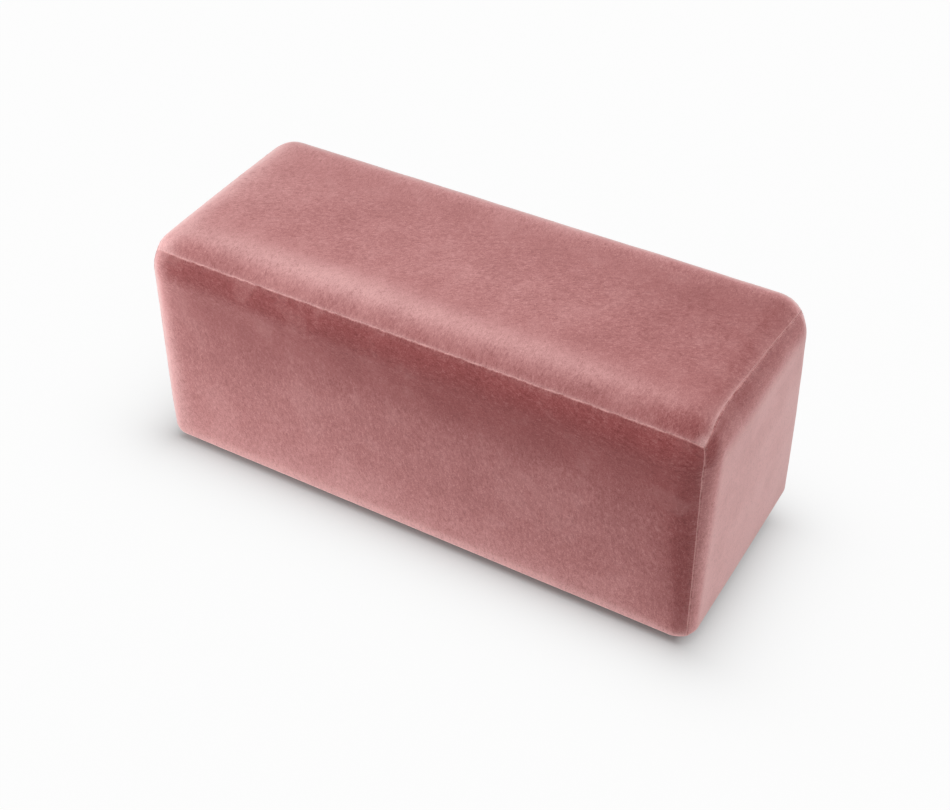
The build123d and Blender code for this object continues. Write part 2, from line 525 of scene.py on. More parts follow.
@dataclass(frozen=True)
class VelvetPile:
    """Short cotton pile in dusty rose: deep where it is seen down into, pale where it is seen along its tips.

    The shares that end in _turned grow as the surface turns from the eye. painted_highlight_tips and
    painted_highlight_tips_more grow with the layer of painted highlights; painted_light_lean adds that layer, painted
    highlights and painted shade, to the pile's lean, and opening_and_shade darkens it beside the seams, partly as the
    pile opens there and partly as painted shade.
    """

    deep: Colour = rgb(138, 68, 68)
    parting: Colour = rgb(212, 196, 196)
    soft: Colour = rgb(204, 144, 143)
    rose: Colour = rgb(206, 124, 125)
    tips: Colour = rgb(242, 204, 202)
    # pale pile tips, and the colour of the painted sheen along the seams
    crest: Colour = rgb(242, 188, 185)
    sheen_tint: Colour = rgb(255, 208, 206)
    sheen: float = 0.7
    sheen_roughness: float = 0.42
    gloss: float = 0.18
    soft_turned: Rise = Rise(0.02, 0.85)
    rose_turned: Rise = Rise(0.40, 0.75, 0.45)
    tips_turned: Rise = Rise(0.54, 0.96, 0.95)
    # painted highlights: how far the marks' layer turns the pile to its pale tips
    painted_highlight_tips: Rise = Rise(0.1, 1.0, 0.3)
    painted_highlight_tips_more: Rise = Rise(1.0, 1.9, 0.3)
    # how much the marks' layer, painted highlights and painted shade, adds to the pile's lean
    painted_light_lean: float = 0.5
    # partly painted shade: how much the pile darkens beside the seams, where it opens
    opening_and_shade: float = 0.26
    raised: float = 0.30
    raised_least: float = 0.12
    parted: float = 0.86
    parted_fade: Triple = (0.5, 0.9, 0.6)
    clouds: float = 0.075
    cloud_parted: float = 0.18
    hair_share: float = 0.10
    # how strongly the painted sheen line shows on the seams
    sheen_line_share: float = 0.6
    relief: float = 0.0008
    relief_strength: float = 0.8

    def material(self) -> bpy.types.Material:
        """Builds the velvet.

        Returns:
            The material.
        """
        material, graph, shader = new_material("velvet_pile")
        seam, run, opened_and_shade, lie = (graph.layer(name) for name in ("seam", "run", "open", "lie"))
        brush, comb = (graph.layer(name, "Vector") for name in ("brush", "comb"))
        places = {"Cloth": cloth_place(graph), "Brush": brush, "Comb": comb, "Seam": seam, "Run": run}
        pile = graph.group(brushed_pile(), places)
        turned = graph.add("LayerWeight", {"Blend": 0.5}).outputs["Facing"]
        # painted highlights and painted shade from the marks join the lean of the pile
        lean = graph.plus(self.soft_turned.at(graph, turned), graph.times(lie, self.painted_light_lean))
        # the pile darkens beside the seams, partly as it opens there and partly as painted shade
        lean = graph.minus(lean, graph.times(opened_and_shade, self.opening_and_shade), clamp=True)
        nap = graph.mix(lean, self.deep, self.soft)
        for share, value, colour in (
            (self.rose_turned, turned, self.rose),
            (self.tips_turned, turned, self.tips),
            # painted highlights from the marks' layer turn the pile to its pale tips
            (self.painted_highlight_tips, lie, self.tips),
            (self.painted_highlight_tips_more, lie, self.tips),
        ):
            nap = graph.mix(share.at(graph, value), nap, colour)
        start, end, left = self.parted_fade
        parted = graph.between(turned, start, end, self.parted, self.parted * left)
        raised = graph.plus(graph.times(lean, self.raised), self.raised_least)
        for mask, dark, pale in (("Strokes", parted, raised), ("Patches", self.cloud_parted, self.clouds)):
            nap = graph.mix(graph.between(pile[mask], 0.5, 0.0, 0.0, dark), nap, self.parting, "MULTIPLY")
            nap = graph.mix(graph.between(pile[mask], 0.5, 1.0, 0.0, pale), nap, self.crest)
        nap = graph.mix(graph.times(pile["Hairs"], self.hair_share), nap, self.crest)
        # painted sheen along each seam's ridge
        nap = graph.mix(graph.times(pile["Crest"], self.sheen_line_share), nap, self.crest)
        roughness = graph.between(pile["Patches"], 0.0, 1.0, 0.6, 0.5)
        coat(graph, shader, nap, roughness, pile["Height"], self.relief, self.relief_strength)
        shader.inputs["Specular IOR Level"].default_value = self.gloss
        shader.inputs["Sheen Weight"].default_value = self.sheen
        shader.inputs["Sheen Roughness"].default_value = self.sheen_roughness
        shader.inputs["Sheen Tint"].default_value = self.sheen_tint
        return material


@dataclass(frozen=True)
class WovenCloth:
    """A plain woven cloth: jute hessian, or the backing of the velvet, painted darker where its threads sink, as
    shade.
    """

    name: str
    # dark is the painted shade between threads, and also the dust's colour
    dark: Colour
    light: Colour
    threads_per_m: float
    relief: float

    def material(self) -> bpy.types.Material:
        """Builds the weave.

        Returns:
            The material.
        """
        material, graph, shader = new_material(self.name)
        cloth = cloth_place(graph)
        weave = graph.group(plain_weave(), {"Cloth": cloth, "Threads per m": self.threads_per_m})
        wear = graph.group(handled_wear(), {"Point": cloth})
        # painted shade: the yarn is darker where the threads sink between each other
        yarn = graph.mix(weave["Height"], self.dark, self.light)
        yarn = graph.mix(graph.times(weave["Slub"], 0.35), yarn, self.light)
        yarn = graph.mix(graph.times(wear["Dust"], 0.2), yarn, self.dark)
        roughness = graph.between(weave["Height"], 0.0, 1.0, 0.95, 0.8)
        coat(graph, shader, yarn, roughness, weave["Height"], self.relief)
        return material


@dataclass(frozen=True)
class ElasticWebbing:
    """Ribbed rubber and fibre webbing, black with a light line along each side, its rib crests painted lighter."""

    body: Colour = rgb(40, 40, 44)
    lit_rib: Colour = rgb(74, 74, 80)
    line: Colour = rgb(196, 190, 176)
    ribs_per_m: float = 420.0
    threads_per_m: float = 900.0
    line_place: float = 0.015
    line_width: float = 0.0022
    relief: float = 0.0003

    def material(self) -> bpy.types.Material:
        """Builds the webbing.

        Returns:
            The material.
        """
        material, graph, shader = new_material("elastic_webbing")
        cloth = cloth_place(graph)
        parts = graph.add("SeparateXYZ", {0: cloth})
        ribs = graph.operate("SINE", graph.times(parts.outputs[0], self.ribs_per_m * math.tau))
        weave = graph.group(plain_weave(), {"Cloth": cloth, "Threads per m": self.threads_per_m})
        from_middle = graph.operate("ABSOLUTE", parts.outputs[1])
        from_line = graph.operate("ABSOLUTE", graph.minus(from_middle, self.line_place))
        line = graph.operate("LESS_THAN", from_line, self.line_width / 2)
        # painted light: the ribs' crests are lighter and their grooves darker, as light falls on them
        cord = graph.mix(graph.between(ribs, -1.0, 1.0), self.body, self.lit_rib)
        roughness = graph.between(weave["Slub"], 0.0, 1.0, 0.62, 0.8)
        height = graph.plus(graph.times(ribs, 0.5), weave["Height"])
        coat(graph, shader, graph.mix(line, cord, self.line), roughness, height, self.relief)
        return material


@dataclass(frozen=True)
class SpunCloth:
    """Thin spun-bonded cloth with its grid of pressed dimples."""

    base: Colour = rgb(34, 34, 36)
    fibre: Colour = rgb(66, 66, 70)
    dust: Colour = rgb(120, 116, 110)
    dimples_per_m: float = 420.0
    fibres_per_m: float = 900.0
    specks_per_m: float = 25.0
    relief: float = 0.00035

    def material(self) -> bpy.types.Material:
        """Builds the cloth.

        Returns:
            The material.
        """
        material, graph, shader = new_material("spun_cloth")
        cloth = cloth_place(graph)
        parts = graph.add("SeparateXYZ", {0: cloth})
        turns = self.dimples_per_m * math.pi
        waves = [graph.operate("SINE", graph.times(parts.outputs[axis], turns)) for axis in (0, 1)]
        dimple = graph.between(graph.times(*waves), 0.35, 0.8)
        tangle = graph.group(open_cells(), {"Point": cloth, "Cells per m": self.fibres_per_m})["Tangle"]
        wear = graph.group(handled_wear(), {"Point": cloth, "Specks per m": self.specks_per_m})
        colour = graph.mix(tangle, self.base, self.fibre)
        colour = graph.mix(graph.times(wear["Dust"], 0.12), colour, self.dust)
        roughness = graph.between(dimple, 0.0, 1.0, 0.85, 0.5)
        coat(graph, shader, colour, roughness, graph.minus(tangle, dimple), self.relief)
        return material


@dataclass(frozen=True)
class Filling:
    """Foam or fibre: a pale stuff of cells or tangled fibres, painted darker in its hollows as shade."""

    name: str
    shaded_hollow: Colour
    skin: Colour
    cells_per_m: float
    fibrous: bool
    relief: float

    def material(self) -> bpy.types.Material:
        """Builds the filling.

        Returns:
            The material.
        """
        material, graph, shader = new_material(self.name)
        stuff = graph.group(open_cells(), {"Point": object_place(graph), "Cells per m": self.cells_per_m})
        height = stuff["Tangle"] if self.fibrous else stuff["Cells"]
        # painted shade: darker in the cells' hollows and between the fibres; broad patches darken at random
        colour = graph.mix(graph.between(height, 0.25, 0.75), self.shaded_hollow, self.skin)
        colour = graph.mix(graph.between(stuff["Broad"], 0.35, 0.75, 0.0, 0.18), colour, self.shaded_hollow)
        coat(graph, shader, colour, graph.between(height, 0.0, 1.0, 1.0, 0.86), height, self.relief)
        return material


@dataclass(frozen=True)
class Timber:
    """Planed softwood, with its grain along the piece."""

    along: Along
    early: Colour = rgb(222, 190, 142)
    late: Colour = rgb(180, 134, 84)
    dirt: Colour = rgb(122, 92, 62)
    rings_per_m: float = 34.0
    relief: float = 0.0002

    def material(self) -> bpy.types.Material:
        """Builds the timber.

        Returns:
            The material.
        """
        material, graph, shader = new_material(f"pine_{self.along.name.lower()}")
        turned = {"Vector": object_place(graph), "Rotation": self.along.value}
        place = graph.add("Mapping", turned).outputs[0]
        figure = graph.group(wood_figure(), {"Point": place, "Rings per m": self.rings_per_m})
        wear = graph.group(handled_wear(), {"Point": place})
        wood = graph.mix(graph.between(figure["Rings"], 0.1, 0.95), self.early, self.late)
        wood = graph.mix(graph.times(figure["Fibres"], 0.3), wood, self.late)
        wood = graph.mix(graph.times(wear["Scuffs"], 0.25), wood, self.dirt)
        roughness = graph.between(figure["Rings"], 0.0, 1.0, 0.72, 0.52)
        coat(graph, shader, wood, roughness, graph.minus(figure["Fibres"], figure["Pores"]), self.relief)
        return material


@dataclass(frozen=True)
class PressedBoard:
    """Smooth brown fibreboard, thin and hard, with flecks of fibre."""

    base: Colour = rgb(122, 84, 54)
    fleck: Colour = rgb(160, 118, 80)
    scuffed: Colour = rgb(88, 60, 40)
    flecks_per_m: float = 420.0
    relief: float = 0.00012

    def material(self) -> bpy.types.Material:
        """Builds the board.

        Returns:
            The material.
        """
        material, graph, shader = new_material("pressed_board")
        place = object_place(graph)
        stuff = graph.group(open_cells(), {"Point": place, "Cells per m": self.flecks_per_m})
        wear = graph.group(handled_wear(), {"Point": place})
        colour = graph.mix(graph.between(stuff["Tangle"], 0.35, 0.7), self.base, self.fleck)
        colour = graph.mix(graph.times(wear["Scuffs"], 0.3), colour, self.scuffed)
        roughness = graph.between(stuff["Broad"], 0.3, 0.7, 0.38, 0.6)
        coat(graph, shader, colour, roughness, stuff["Tangle"], self.relief)
        return material


@dataclass(frozen=True)
class MouldedNylon:
    """Black nylon with a fine spark texture, scuffed where it slides."""

    base: Colour = rgb(26, 26, 27)
    scuffed: Colour = rgb(78, 78, 78)
    sparks_per_m: float = 2600.0
    specks_per_m: float = 300.0
    relief: float = 0.00008

    def material(self) -> bpy.types.Material:
        """Builds the nylon.

        Returns:
            The material.
        """
        material, graph, shader = new_material("moulded_nylon")
        place = object_place(graph)
        wear = graph.group(handled_wear(), {"Point": place, "Specks per m": self.specks_per_m})
        spark = graph.noise(place, self.sparks_per_m, 2.0)
        colour = graph.mix(graph.times(wear["Scuffs"], 0.6), self.base, self.scuffed)
        coat(graph, shader, colour, graph.between(wear["Dust"], 0.0, 1.0, 0.42, 0.62), spark, self.relief)
        return material


@dataclass(frozen=True)
class DrawnSteel:
    """Drawn steel wire, bright or galvanised, with die lines and a dull bloom."""

    name: str
    bright: Colour = rgb(206, 206, 208)
    dull: Colour = rgb(150, 150, 152)
    lines_per_m: Triple = (3000.0, 3000.0, 120.0)
    specks_per_m: float = 500.0
    relief: float = 0.00004

    def material(self) -> bpy.types.Material:
        """Builds the steel.

        Returns:
            The material.
        """
        material, graph, shader = new_material(self.name)
        place = object_place(graph)
        wear = graph.group(handled_wear(), {"Point": place, "Specks per m": self.specks_per_m})
        lines = graph.noise(graph.stretched(place, self.lines_per_m), 1.0, 1.0)
        colour = graph.mix(wear["Dust"], self.bright, self.dull)
        coat(graph, shader, colour, graph.between(lines, 0.3, 0.7, 0.28, 0.5), lines, self.relief)
        shader.inputs["Metallic"].default_value = 1.0
        return material


# Forms


def eased(share: np.ndarray) -> np.ndarray:
    """A share from 0 to 1 with a soft start and end."""
    return share * share * (3 - 2 * share)


def bell(away: np.ndarray, reach: float) -> np.ndarray:
    """One in the middle, and next to nothing past twice the reach."""
    return np.exp(-((away / reach) ** 2))


def unit(vectors: np.ndarray) -> np.ndarray:
    """Vectors brought to a length of one."""
    return vectors / np.maximum(np.linalg.norm(vectors, axis=-1, keepdims=True), TINY)


def swung(u: np.ndarray, v: np.ndarray, angle: float) -> list[np.ndarray]:
    """Places in a plane, turned about its origin by an angle in radians."""
    return [u * math.cos(angle) - v * math.sin(angle), u * math.sin(angle) + v * math.cos(angle)]


@dataclass
class Spots:
    """Places on the covered body, each told by where it lies in plan and in height."""

    core: np.ndarray
    turn: np.ndarray
    inward: np.ndarray
    level: np.ndarray


@dataclass(frozen=True)
class SeamLine:
    """Where a seam of the seat runs on the soft edge: the tangent of its angle from the seat's own direction."""

    middle: float
    corner: float
    drift: float
    power: float
    flat: float
    arc: float = 0.045

    def lean(self, station: np.ndarray) -> np.ndarray:
        """The seam's lean at stations from -2 to 2 along it.

        Args:
            station: Stations, 1 at the ends of the flat part and 2 at the corners.

        Returns:
            The leans.
        """
        away = np.clip(abs(station), 0, 1) * self.flat + np.clip(abs(station) - 1, 0, 1) * self.arc
        share = away / (self.flat + self.arc)
        turn = share**self.power
        return self.middle + (self.corner - self.middle) * turn + self.drift * np.sign(station) * share * (1 - turn)


@dataclass(frozen=True)
class BodyForm:
    """The soft outer form of the covered body, in metres."""

    length: float = 1.100
    width: float = 0.450
    underside: float = 0.015
    height: float = 0.448
    crown_across: float = 0.002
    crown_along: float = 0.0005
    end_bulge: float = 0.0035
    side_bulge: float = 0.0005
    shoulder_reach: float = 0.062
    shoulder_drop: float = 0.074
    corner_low: float = 0.038
    base_radius: float = 0.014
    hem_width: float = 0.048
    long_seam: SeamLine = SeamLine(0.988, 0.969, -0.038, 10.0, 0.485)
    end_seam: SeamLine = SeamLine(0.807, 1.197, 0.222, 4.0, 0.1625)
    corner_seam: float = 1.078

    @property
    def rim(self) -> float:
        """Height of the seat's rim above the underside."""
        return self.height - self.crown_across - self.crown_along

    def place(self, spots: Spots) -> np.ndarray:
        """Finds points on the body.

        Args:
            spots: The places, as arrays of any shape.

        Returns:
            The points, in the bench's frame.
        """
        half = np.array([self.length / 2 - self.end_bulge, self.width / 2 - self.side_bulge])
        share = eased(np.clip(spots.level / self.rim, 0, 1))
        corner = self.corner_low + (self.shoulder_reach - self.corner_low) * share
        arc = np.maximum(corner - spots.inward, 0)
        sharp = np.maximum(spots.inward - corner, 0)
        plan = spots.core * (half - (corner + sharp)[..., None]) + spots.turn * arc[..., None]
        along, across = plan[..., 0] / half[0], plan[..., 1] / half[1]
        up = 2 * spots.level / self.rim - 1
        room_along, room_across, room_up = (np.clip(1 - part**2, 0, 1) for part in (along, across, up))
        crown = (self.crown_across * room_across + self.crown_along * room_along) * spots.level / self.rim
        return np.stack(
            [
                plan[..., 0] + self.end_bulge * along * room_across * room_up,
                plan[..., 1] + self.side_bulge * across * room_along * room_up,
                spots.level + crown + self.underside,
            ],
            axis=-1,
        )

    def shoulder(self, core: np.ndarray, direction: np.ndarray) -> Spots:
        """Places round the seat's soft edge, from the directions that they face.

        Args:
            core: Shares of the flat seat's half sizes.
            direction: Directions of any length.

        Returns:
            The places.
        """
        facing = unit(direction)
        flat = np.hypot(facing[..., 0], facing[..., 1])
        turn = facing[..., :2] / np.maximum(flat, 1e-9)[..., None]
        level = self.rim - self.shoulder_drop * (1 - facing[..., 2])
        return Spots(core, turn, self.shoulder_reach * (1 - flat), level)

    def seat(self, along: np.ndarray, across: np.ndarray, spread: float | None = None) -> np.ndarray:
        """Points of the seat and its share of the soft edges.

        Args:
            along: Stations along X, from -1 to 1 on the flat part and up to 2 at a seam.
            across: Stations along Y, likewise.
            spread: Tangent of the angle at the border, in place of the seams' own.

        Returns:
            A grid of points.
        """
        s, t = np.meshgrid(along, across, indexing="ij")
        over_x, over_y = np.clip(abs(s) - 1, 0, 1), np.clip(abs(t) - 1, 0, 1)
        if spread is None:
            lean_x = self.end_seam.lean(t * np.sign(s))
            lean_y = self.long_seam.lean(-s * np.sign(t))
        else:
            lean_x = lean_y = np.full_like(s, spread)
        x = np.sign(s) * np.tan(over_x * np.arctan(lean_x))
        y = np.sign(t) * np.tan(over_y * np.arctan(lean_y))
        core = np.stack([np.clip(s, -1, 1), np.clip(t, -1, 1)], -1)
        return self.place(self.shoulder(core, np.stack([x, y, np.ones_like(x)], -1)))

    def side(self, side: Side, across: np.ndarray, up: np.ndarray) -> np.ndarray:
        """Points of an upright side, its share of the soft edges, and the hem under it.

        Args:
            side: Which side.
            across: Stations along the side, from -1 to 1 on its flat part and up to 2 at a seam.
            up: Stations from -2 at the hem's edge, -1 under the base, 0 over it and 1 under the shoulder, to 2 at
                the seam.

        Returns:
            A grid of points.
        """
        s, w = np.meshgrid(across, up, indexing="ij")
        own, other, corner = self.long_seam, self.end_seam, self.corner_seam
        if not side.is_long:
            own, other, corner = other, own, 1 / corner
        over, rise = np.clip(abs(s) - 1, 0, 1), np.clip(w - 1, 0, 1)
        seam_lean = own.lean(s)
        straight = np.tan(over * np.arctan(corner))
        sewn = np.tan(over * np.arctan(other.corner)) / seam_lean
        sideways = np.sign(s) * (straight + (sewn - straight) * rise)
        upward = np.tan(rise * np.arctan(1 / seam_lean))
        sharp = np.clip(s, -1, 1)
        ones = np.ones_like(s)
        if side.is_long:
            core, direction = np.stack([sharp, -ones], -1), np.stack([sideways, -ones, upward], -1)
        else:
            core, direction = np.stack([ones, sharp], -1), np.stack([ones, sideways, upward], -1)
        spots = self.shoulder(core, direction)
        base = self.base_radius
        bend = np.clip(-w, 0, 1) * math.pi / 2
        straight_level = base + (self.rim - self.shoulder_drop - base) * np.clip(w, 0, 1)
        low = w <= 1
        spots.level = np.where(low, np.where(w < 0, base * (1 - np.sin(bend)), straight_level), spots.level)
        under = base * (1 - np.cos(bend)) + self.hem_width * np.clip(-w - 1, 0, 1)
        spots.inward = np.where(low, under, spots.inward)
        points = self.place(spots)
        if side in (Side.REAR, Side.LEFT):
            points = points * np.array([-1.0, -1.0, 1.0])
        return points


def lengths(points: np.ndarray, axis: int) -> np.ndarray:
    """Running length of a grid's lines along one axis.

    Args:
        points: The grid.
        axis: 0 or 1.

    Returns:
        The length from each line's start to each point.
    """
    steps = np.linalg.norm(np.diff(points, axis=axis), axis=-1)
    pad = [(0, 0), (0, 0)]
    pad[axis] = (1, 0)
    return np.cumsum(np.pad(steps, pad), axis=axis)


def outward(points: np.ndarray) -> np.ndarray:
    """Unit normals of a grid whose lines turn right-handed about the outside."""
    return unit(np.cross(np.gradient(points, axis=0), np.gradient(points, axis=1)))


@dataclass
class Slab:
    """A closed sheet between two grids of points, with what its material reads at each point."""

    outer: np.ndarray
    inner: np.ndarray
    cut: np.ndarray
    layers: dict[str, np.ndarray] = field(default_factory=dict)

    def build(self, name: str, face: bpy.types.Material, back: bpy.types.Material | None = None) -> bpy.types.Object:
        """Makes the mesh.

        Args:
            name: The piece's name.
            face: Material of the outer layer and the edges.
            back: Material of the inner layer, if it differs.

        Returns:
            The new object.
        """
        rows, columns = self.outer.shape[:2]
        count = rows * columns
        at = np.arange(count).reshape(rows, columns)
        quads = np.stack([at[:-1, :-1], at[1:, :-1], at[1:, 1:], at[:-1, 1:]], -1).reshape(-1, 4)
        ring = np.concatenate([at[:-1, 0], at[-1, :-1], at[:0:-1, -1], at[0, :0:-1]])
        following = np.roll(ring, -1)
        rim = np.stack([following, ring, ring + count, following + count], -1)
        faces = np.concatenate([quads, quads[:, ::-1] + count, rim])
        points = np.concatenate([self.outer.reshape(-1, 3), self.inner.reshape(-1, 3)])
        made = new_piece(name, points, faces)
        made.data.materials.append(face)
        if back:
            made.data.materials.append(back)
            index = np.zeros(len(faces), np.int32)
            index[len(quads): 2 * len(quads)] = 1
            made.data.polygons.foreach_set("material_index", index)
        carry(made, "cut", np.concatenate([self.cut.reshape(-1, 3)] * 2))
        for key, values in self.layers.items():
            flat = values.reshape(rows * columns, -1)
            carry(made, key, np.concatenate([flat, flat]).squeeze())
        return made


def put_in(name: str, data: bpy.types.ID) -> bpy.types.Object:
    """Puts a mesh, a light or a camera into the scene.

    Args:
        name: The object's name.
        data: What it shows.

    Returns:
        The new object.
    """
    made = bpy.data.objects.new(name, data)
    bpy.context.scene.collection.objects.link(made)
    return made


def new_piece(
    name: str, points: np.ndarray, faces: np.ndarray | list[list[int]], smooth: bool | list[bool] = True
) -> bpy.types.Object:
    """Makes an object from points and faces.

    Args:
        name: The piece's name.
        points: Vertices, in metres.
        faces: Vertex numbers of each face.
        smooth: Whether its faces shade smoothly, for all or for each.

    Returns:
        The new object, in the scene.
    """
    mesh = bpy.data.meshes.new(name)
    rows = faces.tolist() if isinstance(faces, np.ndarray) else faces
    mesh.from_pydata(points.tolist(), [], rows)
    mesh.update()
    mesh.polygons.foreach_set("use_smooth", np.full(len(rows), smooth))
    return put_in(name, mesh)


def declare(piece: bpy.types.Object, node: str | None = None) -> bpy.types.Object:
    """Tells the frame about a new piece.

    Args:
        piece: The piece.
        node: The node that it stands for, if any.

    Returns:
        The piece.
    """
    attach(piece, BODY)
    if node:
        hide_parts(node)
    return piece


def dress(node: str, finish: bpy.types.Material) -> bpy.types.Object:
    """Gives a node of the CAD its finish.

    Args:
        node: The node's name.
        finish: Its material.

    Returns:
        The node.
    """
    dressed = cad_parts[node]
    dressed.data.materials.clear()
    dressed.data.materials.append(finish)
    return dressed


def carry(piece: bpy.types.Object, name: str, values: np.ndarray) -> None:
    """Stores a value or vector at each vertex, for a material to read.

    Args:
        piece: The piece.
        name: Name of the layer.
        values: One value, or one vector, for each vertex.
    """
    kind, key = ("FLOAT_VECTOR", "vector") if values.ndim == 2 else ("FLOAT", "value")
    layer = piece.data.attributes.new(name, kind, "POINT")
    layer.data.foreach_set(key, values.astype(np.float32).ravel())


def join_meshes(name: str, pieces: list[bpy.types.Object]) -> bpy.types.Object:
    """Joins objects that share their layers into one piece.

    Args:
        name: The joined piece's name.
        pieces: The objects.

    Returns:
        The joined object.
    """
    with bpy.context.temp_override(active_object=pieces[0], selected_editable_objects=pieces):
        bpy.ops.object.join()
    pieces[0].name = pieces[0].data.name = name
    return pieces[0]


@dataclass(frozen=True)
class Ripple:
    """A gentle unevenness that repeats exactly: a sum of waves in set directions."""

    seed: int
    shortest: float
    longest: float
    count: int = 14

    def at(self, points: np.ndarray) -> np.ndarray:
        """Height of the unevenness, about -1 to 1.

        Args:
            points: Places of two or three numbers each.

        Returns:
            One value for each place.
        """
        draw = np.random.default_rng(self.seed)
        total = np.zeros(points.shape[:-1])
        for _ in range(self.count):
            way = draw.normal(size=points.shape[-1])
            way /= np.linalg.norm(way)
            wave = self.shortest * (self.longest / self.shortest) ** draw.random()
            total += np.sin(points @ way * (math.tau / wave) + draw.random() * math.tau)
        return total / math.sqrt(self.count)


@dataclass(frozen=True)
class SeamRelief:
    """How a panel's surface runs into a sewn seam, in metres."""

    groove: float = 0.0010
    groove_reach: float = 0.0008
    ridge: float = 0.0004
    ridge_place: float = 0.0022
    ridge_reach: float = 0.0016
    pull: float = 0.0003
    pull_place: float = 0.0125
    pull_reach: float = 0.0085
    pucker: float = 0.00022
    pucker_start: float = 0.003
    pucker_fade: float = 0.010
    ridge_drift: float = 0.3
    pull_drift: float = 0.25

    def height(self, distance: np.ndarray, run: np.ndarray, depth: np.ndarray, seed: int) -> np.ndarray:
        """How far the surface stands out, or in, at each place.

        Args:
            distance: Distance from the seam.
            run: Place along the seam.
            depth: Share of the groove's full depth.
            seed: Which of the many possible sets of puckers.

        Returns:
            The heights.
        """
        ripple = Ripple(seed, 0.009, 0.03).at(run[..., None])
        slow = Ripple(seed + 1, 0.05, 0.16).at(run[..., None])
        hump = self.ridge * (1 + self.ridge_drift * slow) * bell(distance - self.ridge_place, self.ridge_reach)
        dip = self.pull * (1 + self.pull_drift * slow) * bell(distance - self.pull_place, self.pull_reach)
        fold = self.groove * depth * bell(distance, self.groove_reach)
        begun = np.clip(distance / self.pucker_start, 0, 1)
        wrinkle = self.pucker * ripple * np.exp(-distance / self.pucker_fade) * begun
        return hump - dip - fold + wrinkle


# Sub-assemblies


def stations(half: float, edge: float, step: float, near: Sequence[float]) -> np.ndarray:
    """Stations from -2 to 2 across a panel, close together beside both seams.

    Args:
        half: Half of the flat part, in metres.
        edge: Length of the soft edge from the flat part to the seam, in metres.
        step: Distance between stations on the flat part.
        near: Distances from the seam of the close stations.

    Returns:
        The stations, in order.
    """
    outer = [2 - distance / edge for distance in near if distance < edge]
    count = max(2, round(2 * half / step))
    flat = np.linspace(-1, 1, count + 1)
    return np.concatenate([-np.array(outer), flat, np.array(outer)[::-1]])


@dataclass(frozen=True)
class PaintedLightMark:
    """A patch of painted highlight, or of painted shade where lift is below nought, laid in as flatter or raised pile.
    """

    panel: str
    centre: tuple[float, float]
    reach: tuple[float, float]
    lift: float

    def at(self, cut_u: np.ndarray, cut_v: np.ndarray) -> np.ndarray:
        """The mark's strength at places on the flat cloth.

        Args:
            cut_u: Places across the cloth.
            cut_v: Places up the cloth.

        Returns:
            One value for each place.
        """
        across = (cut_u - self.centre[0]) / self.reach[0]
        up = (cut_v - self.centre[1]) / self.reach[1]
        return self.lift * np.exp(-(across**2) - up**2)


# Painted highlights and painted shade: pale bands along edges, rims and bases, and darker patches below seams and near
# corners.
PAINTED_LIGHT_MARKS = (
    PaintedLightMark("top", (-0.20, -0.157), (0.36, 0.043), 0.80),
    PaintedLightMark("top", (0.30, -0.160), (0.22, 0.046), 0.45),
    PaintedLightMark("top", (-0.45, 0.02), (0.10, 0.16), 0.30),
    PaintedLightMark("top", (-0.535, 0.0), (0.040, 0.40), 1.9),
    PaintedLightMark("top", (0.0, 0.200), (0.70, 0.042), 0.70),
    PaintedLightMark("top", (0.10, -0.03), (0.40, 0.10), 0.26),
    PaintedLightMark("top", (0.42, 0.10), (0.18, 0.12), -0.30),
    PaintedLightMark("top", (0.527, -0.203), (0.012, 0.012), 0.90),
    PaintedLightMark("top", (0.528, -0.13), (0.006, 0.08), 0.40),
    PaintedLightMark("front", (-0.53, -0.02), (0.042, 0.24), 1.15),
    PaintedLightMark("front", (-0.20, -0.16), (0.46, 0.08), 0.42),
    PaintedLightMark("front", (0.35, -0.17), (0.22, 0.06), 0.30),
    PaintedLightMark("front", (0.0, -0.186), (0.85, 0.018), 1.9),
    PaintedLightMark("front", (-0.38, 0.10), (0.16, 0.08), -0.28),
    PaintedLightMark("front", (0.52, 0.02), (0.05, 0.24), -0.45),
    PaintedLightMark("front", (0.10, 0.16), (0.45, 0.07), -0.50),
    PaintedLightMark("right", (0.16, -0.02), (0.10, 0.22), -0.34),
    PaintedLightMark("right", (-0.185, -0.02), (0.025, 0.20), 0.55),
    PaintedLightMark("right", (0.0, -0.186), (0.30, 0.030), 0.6),
    PaintedLightMark("right", (0.0, 0.215), (0.26, 0.032), -0.34),
    PaintedLightMark("rear", (0.10, -0.08), (0.35, 0.12), 0.30),
    PaintedLightMark("left", (0.05, 0.02), (0.12, 0.15), -0.20),
)

NEAR_SEAM = (
    0, 0.0004, 0.0009, 0.0015, 0.0022, 0.003, 0.004, 0.0052, 0.0067,
    0.0086, 0.011, 0.014, 0.018, 0.023, 0.029, 0.036, 0.043,
)
COARSE_EDGE = (0, 0.006, 0.014, 0.022, 0.031, 0.04)


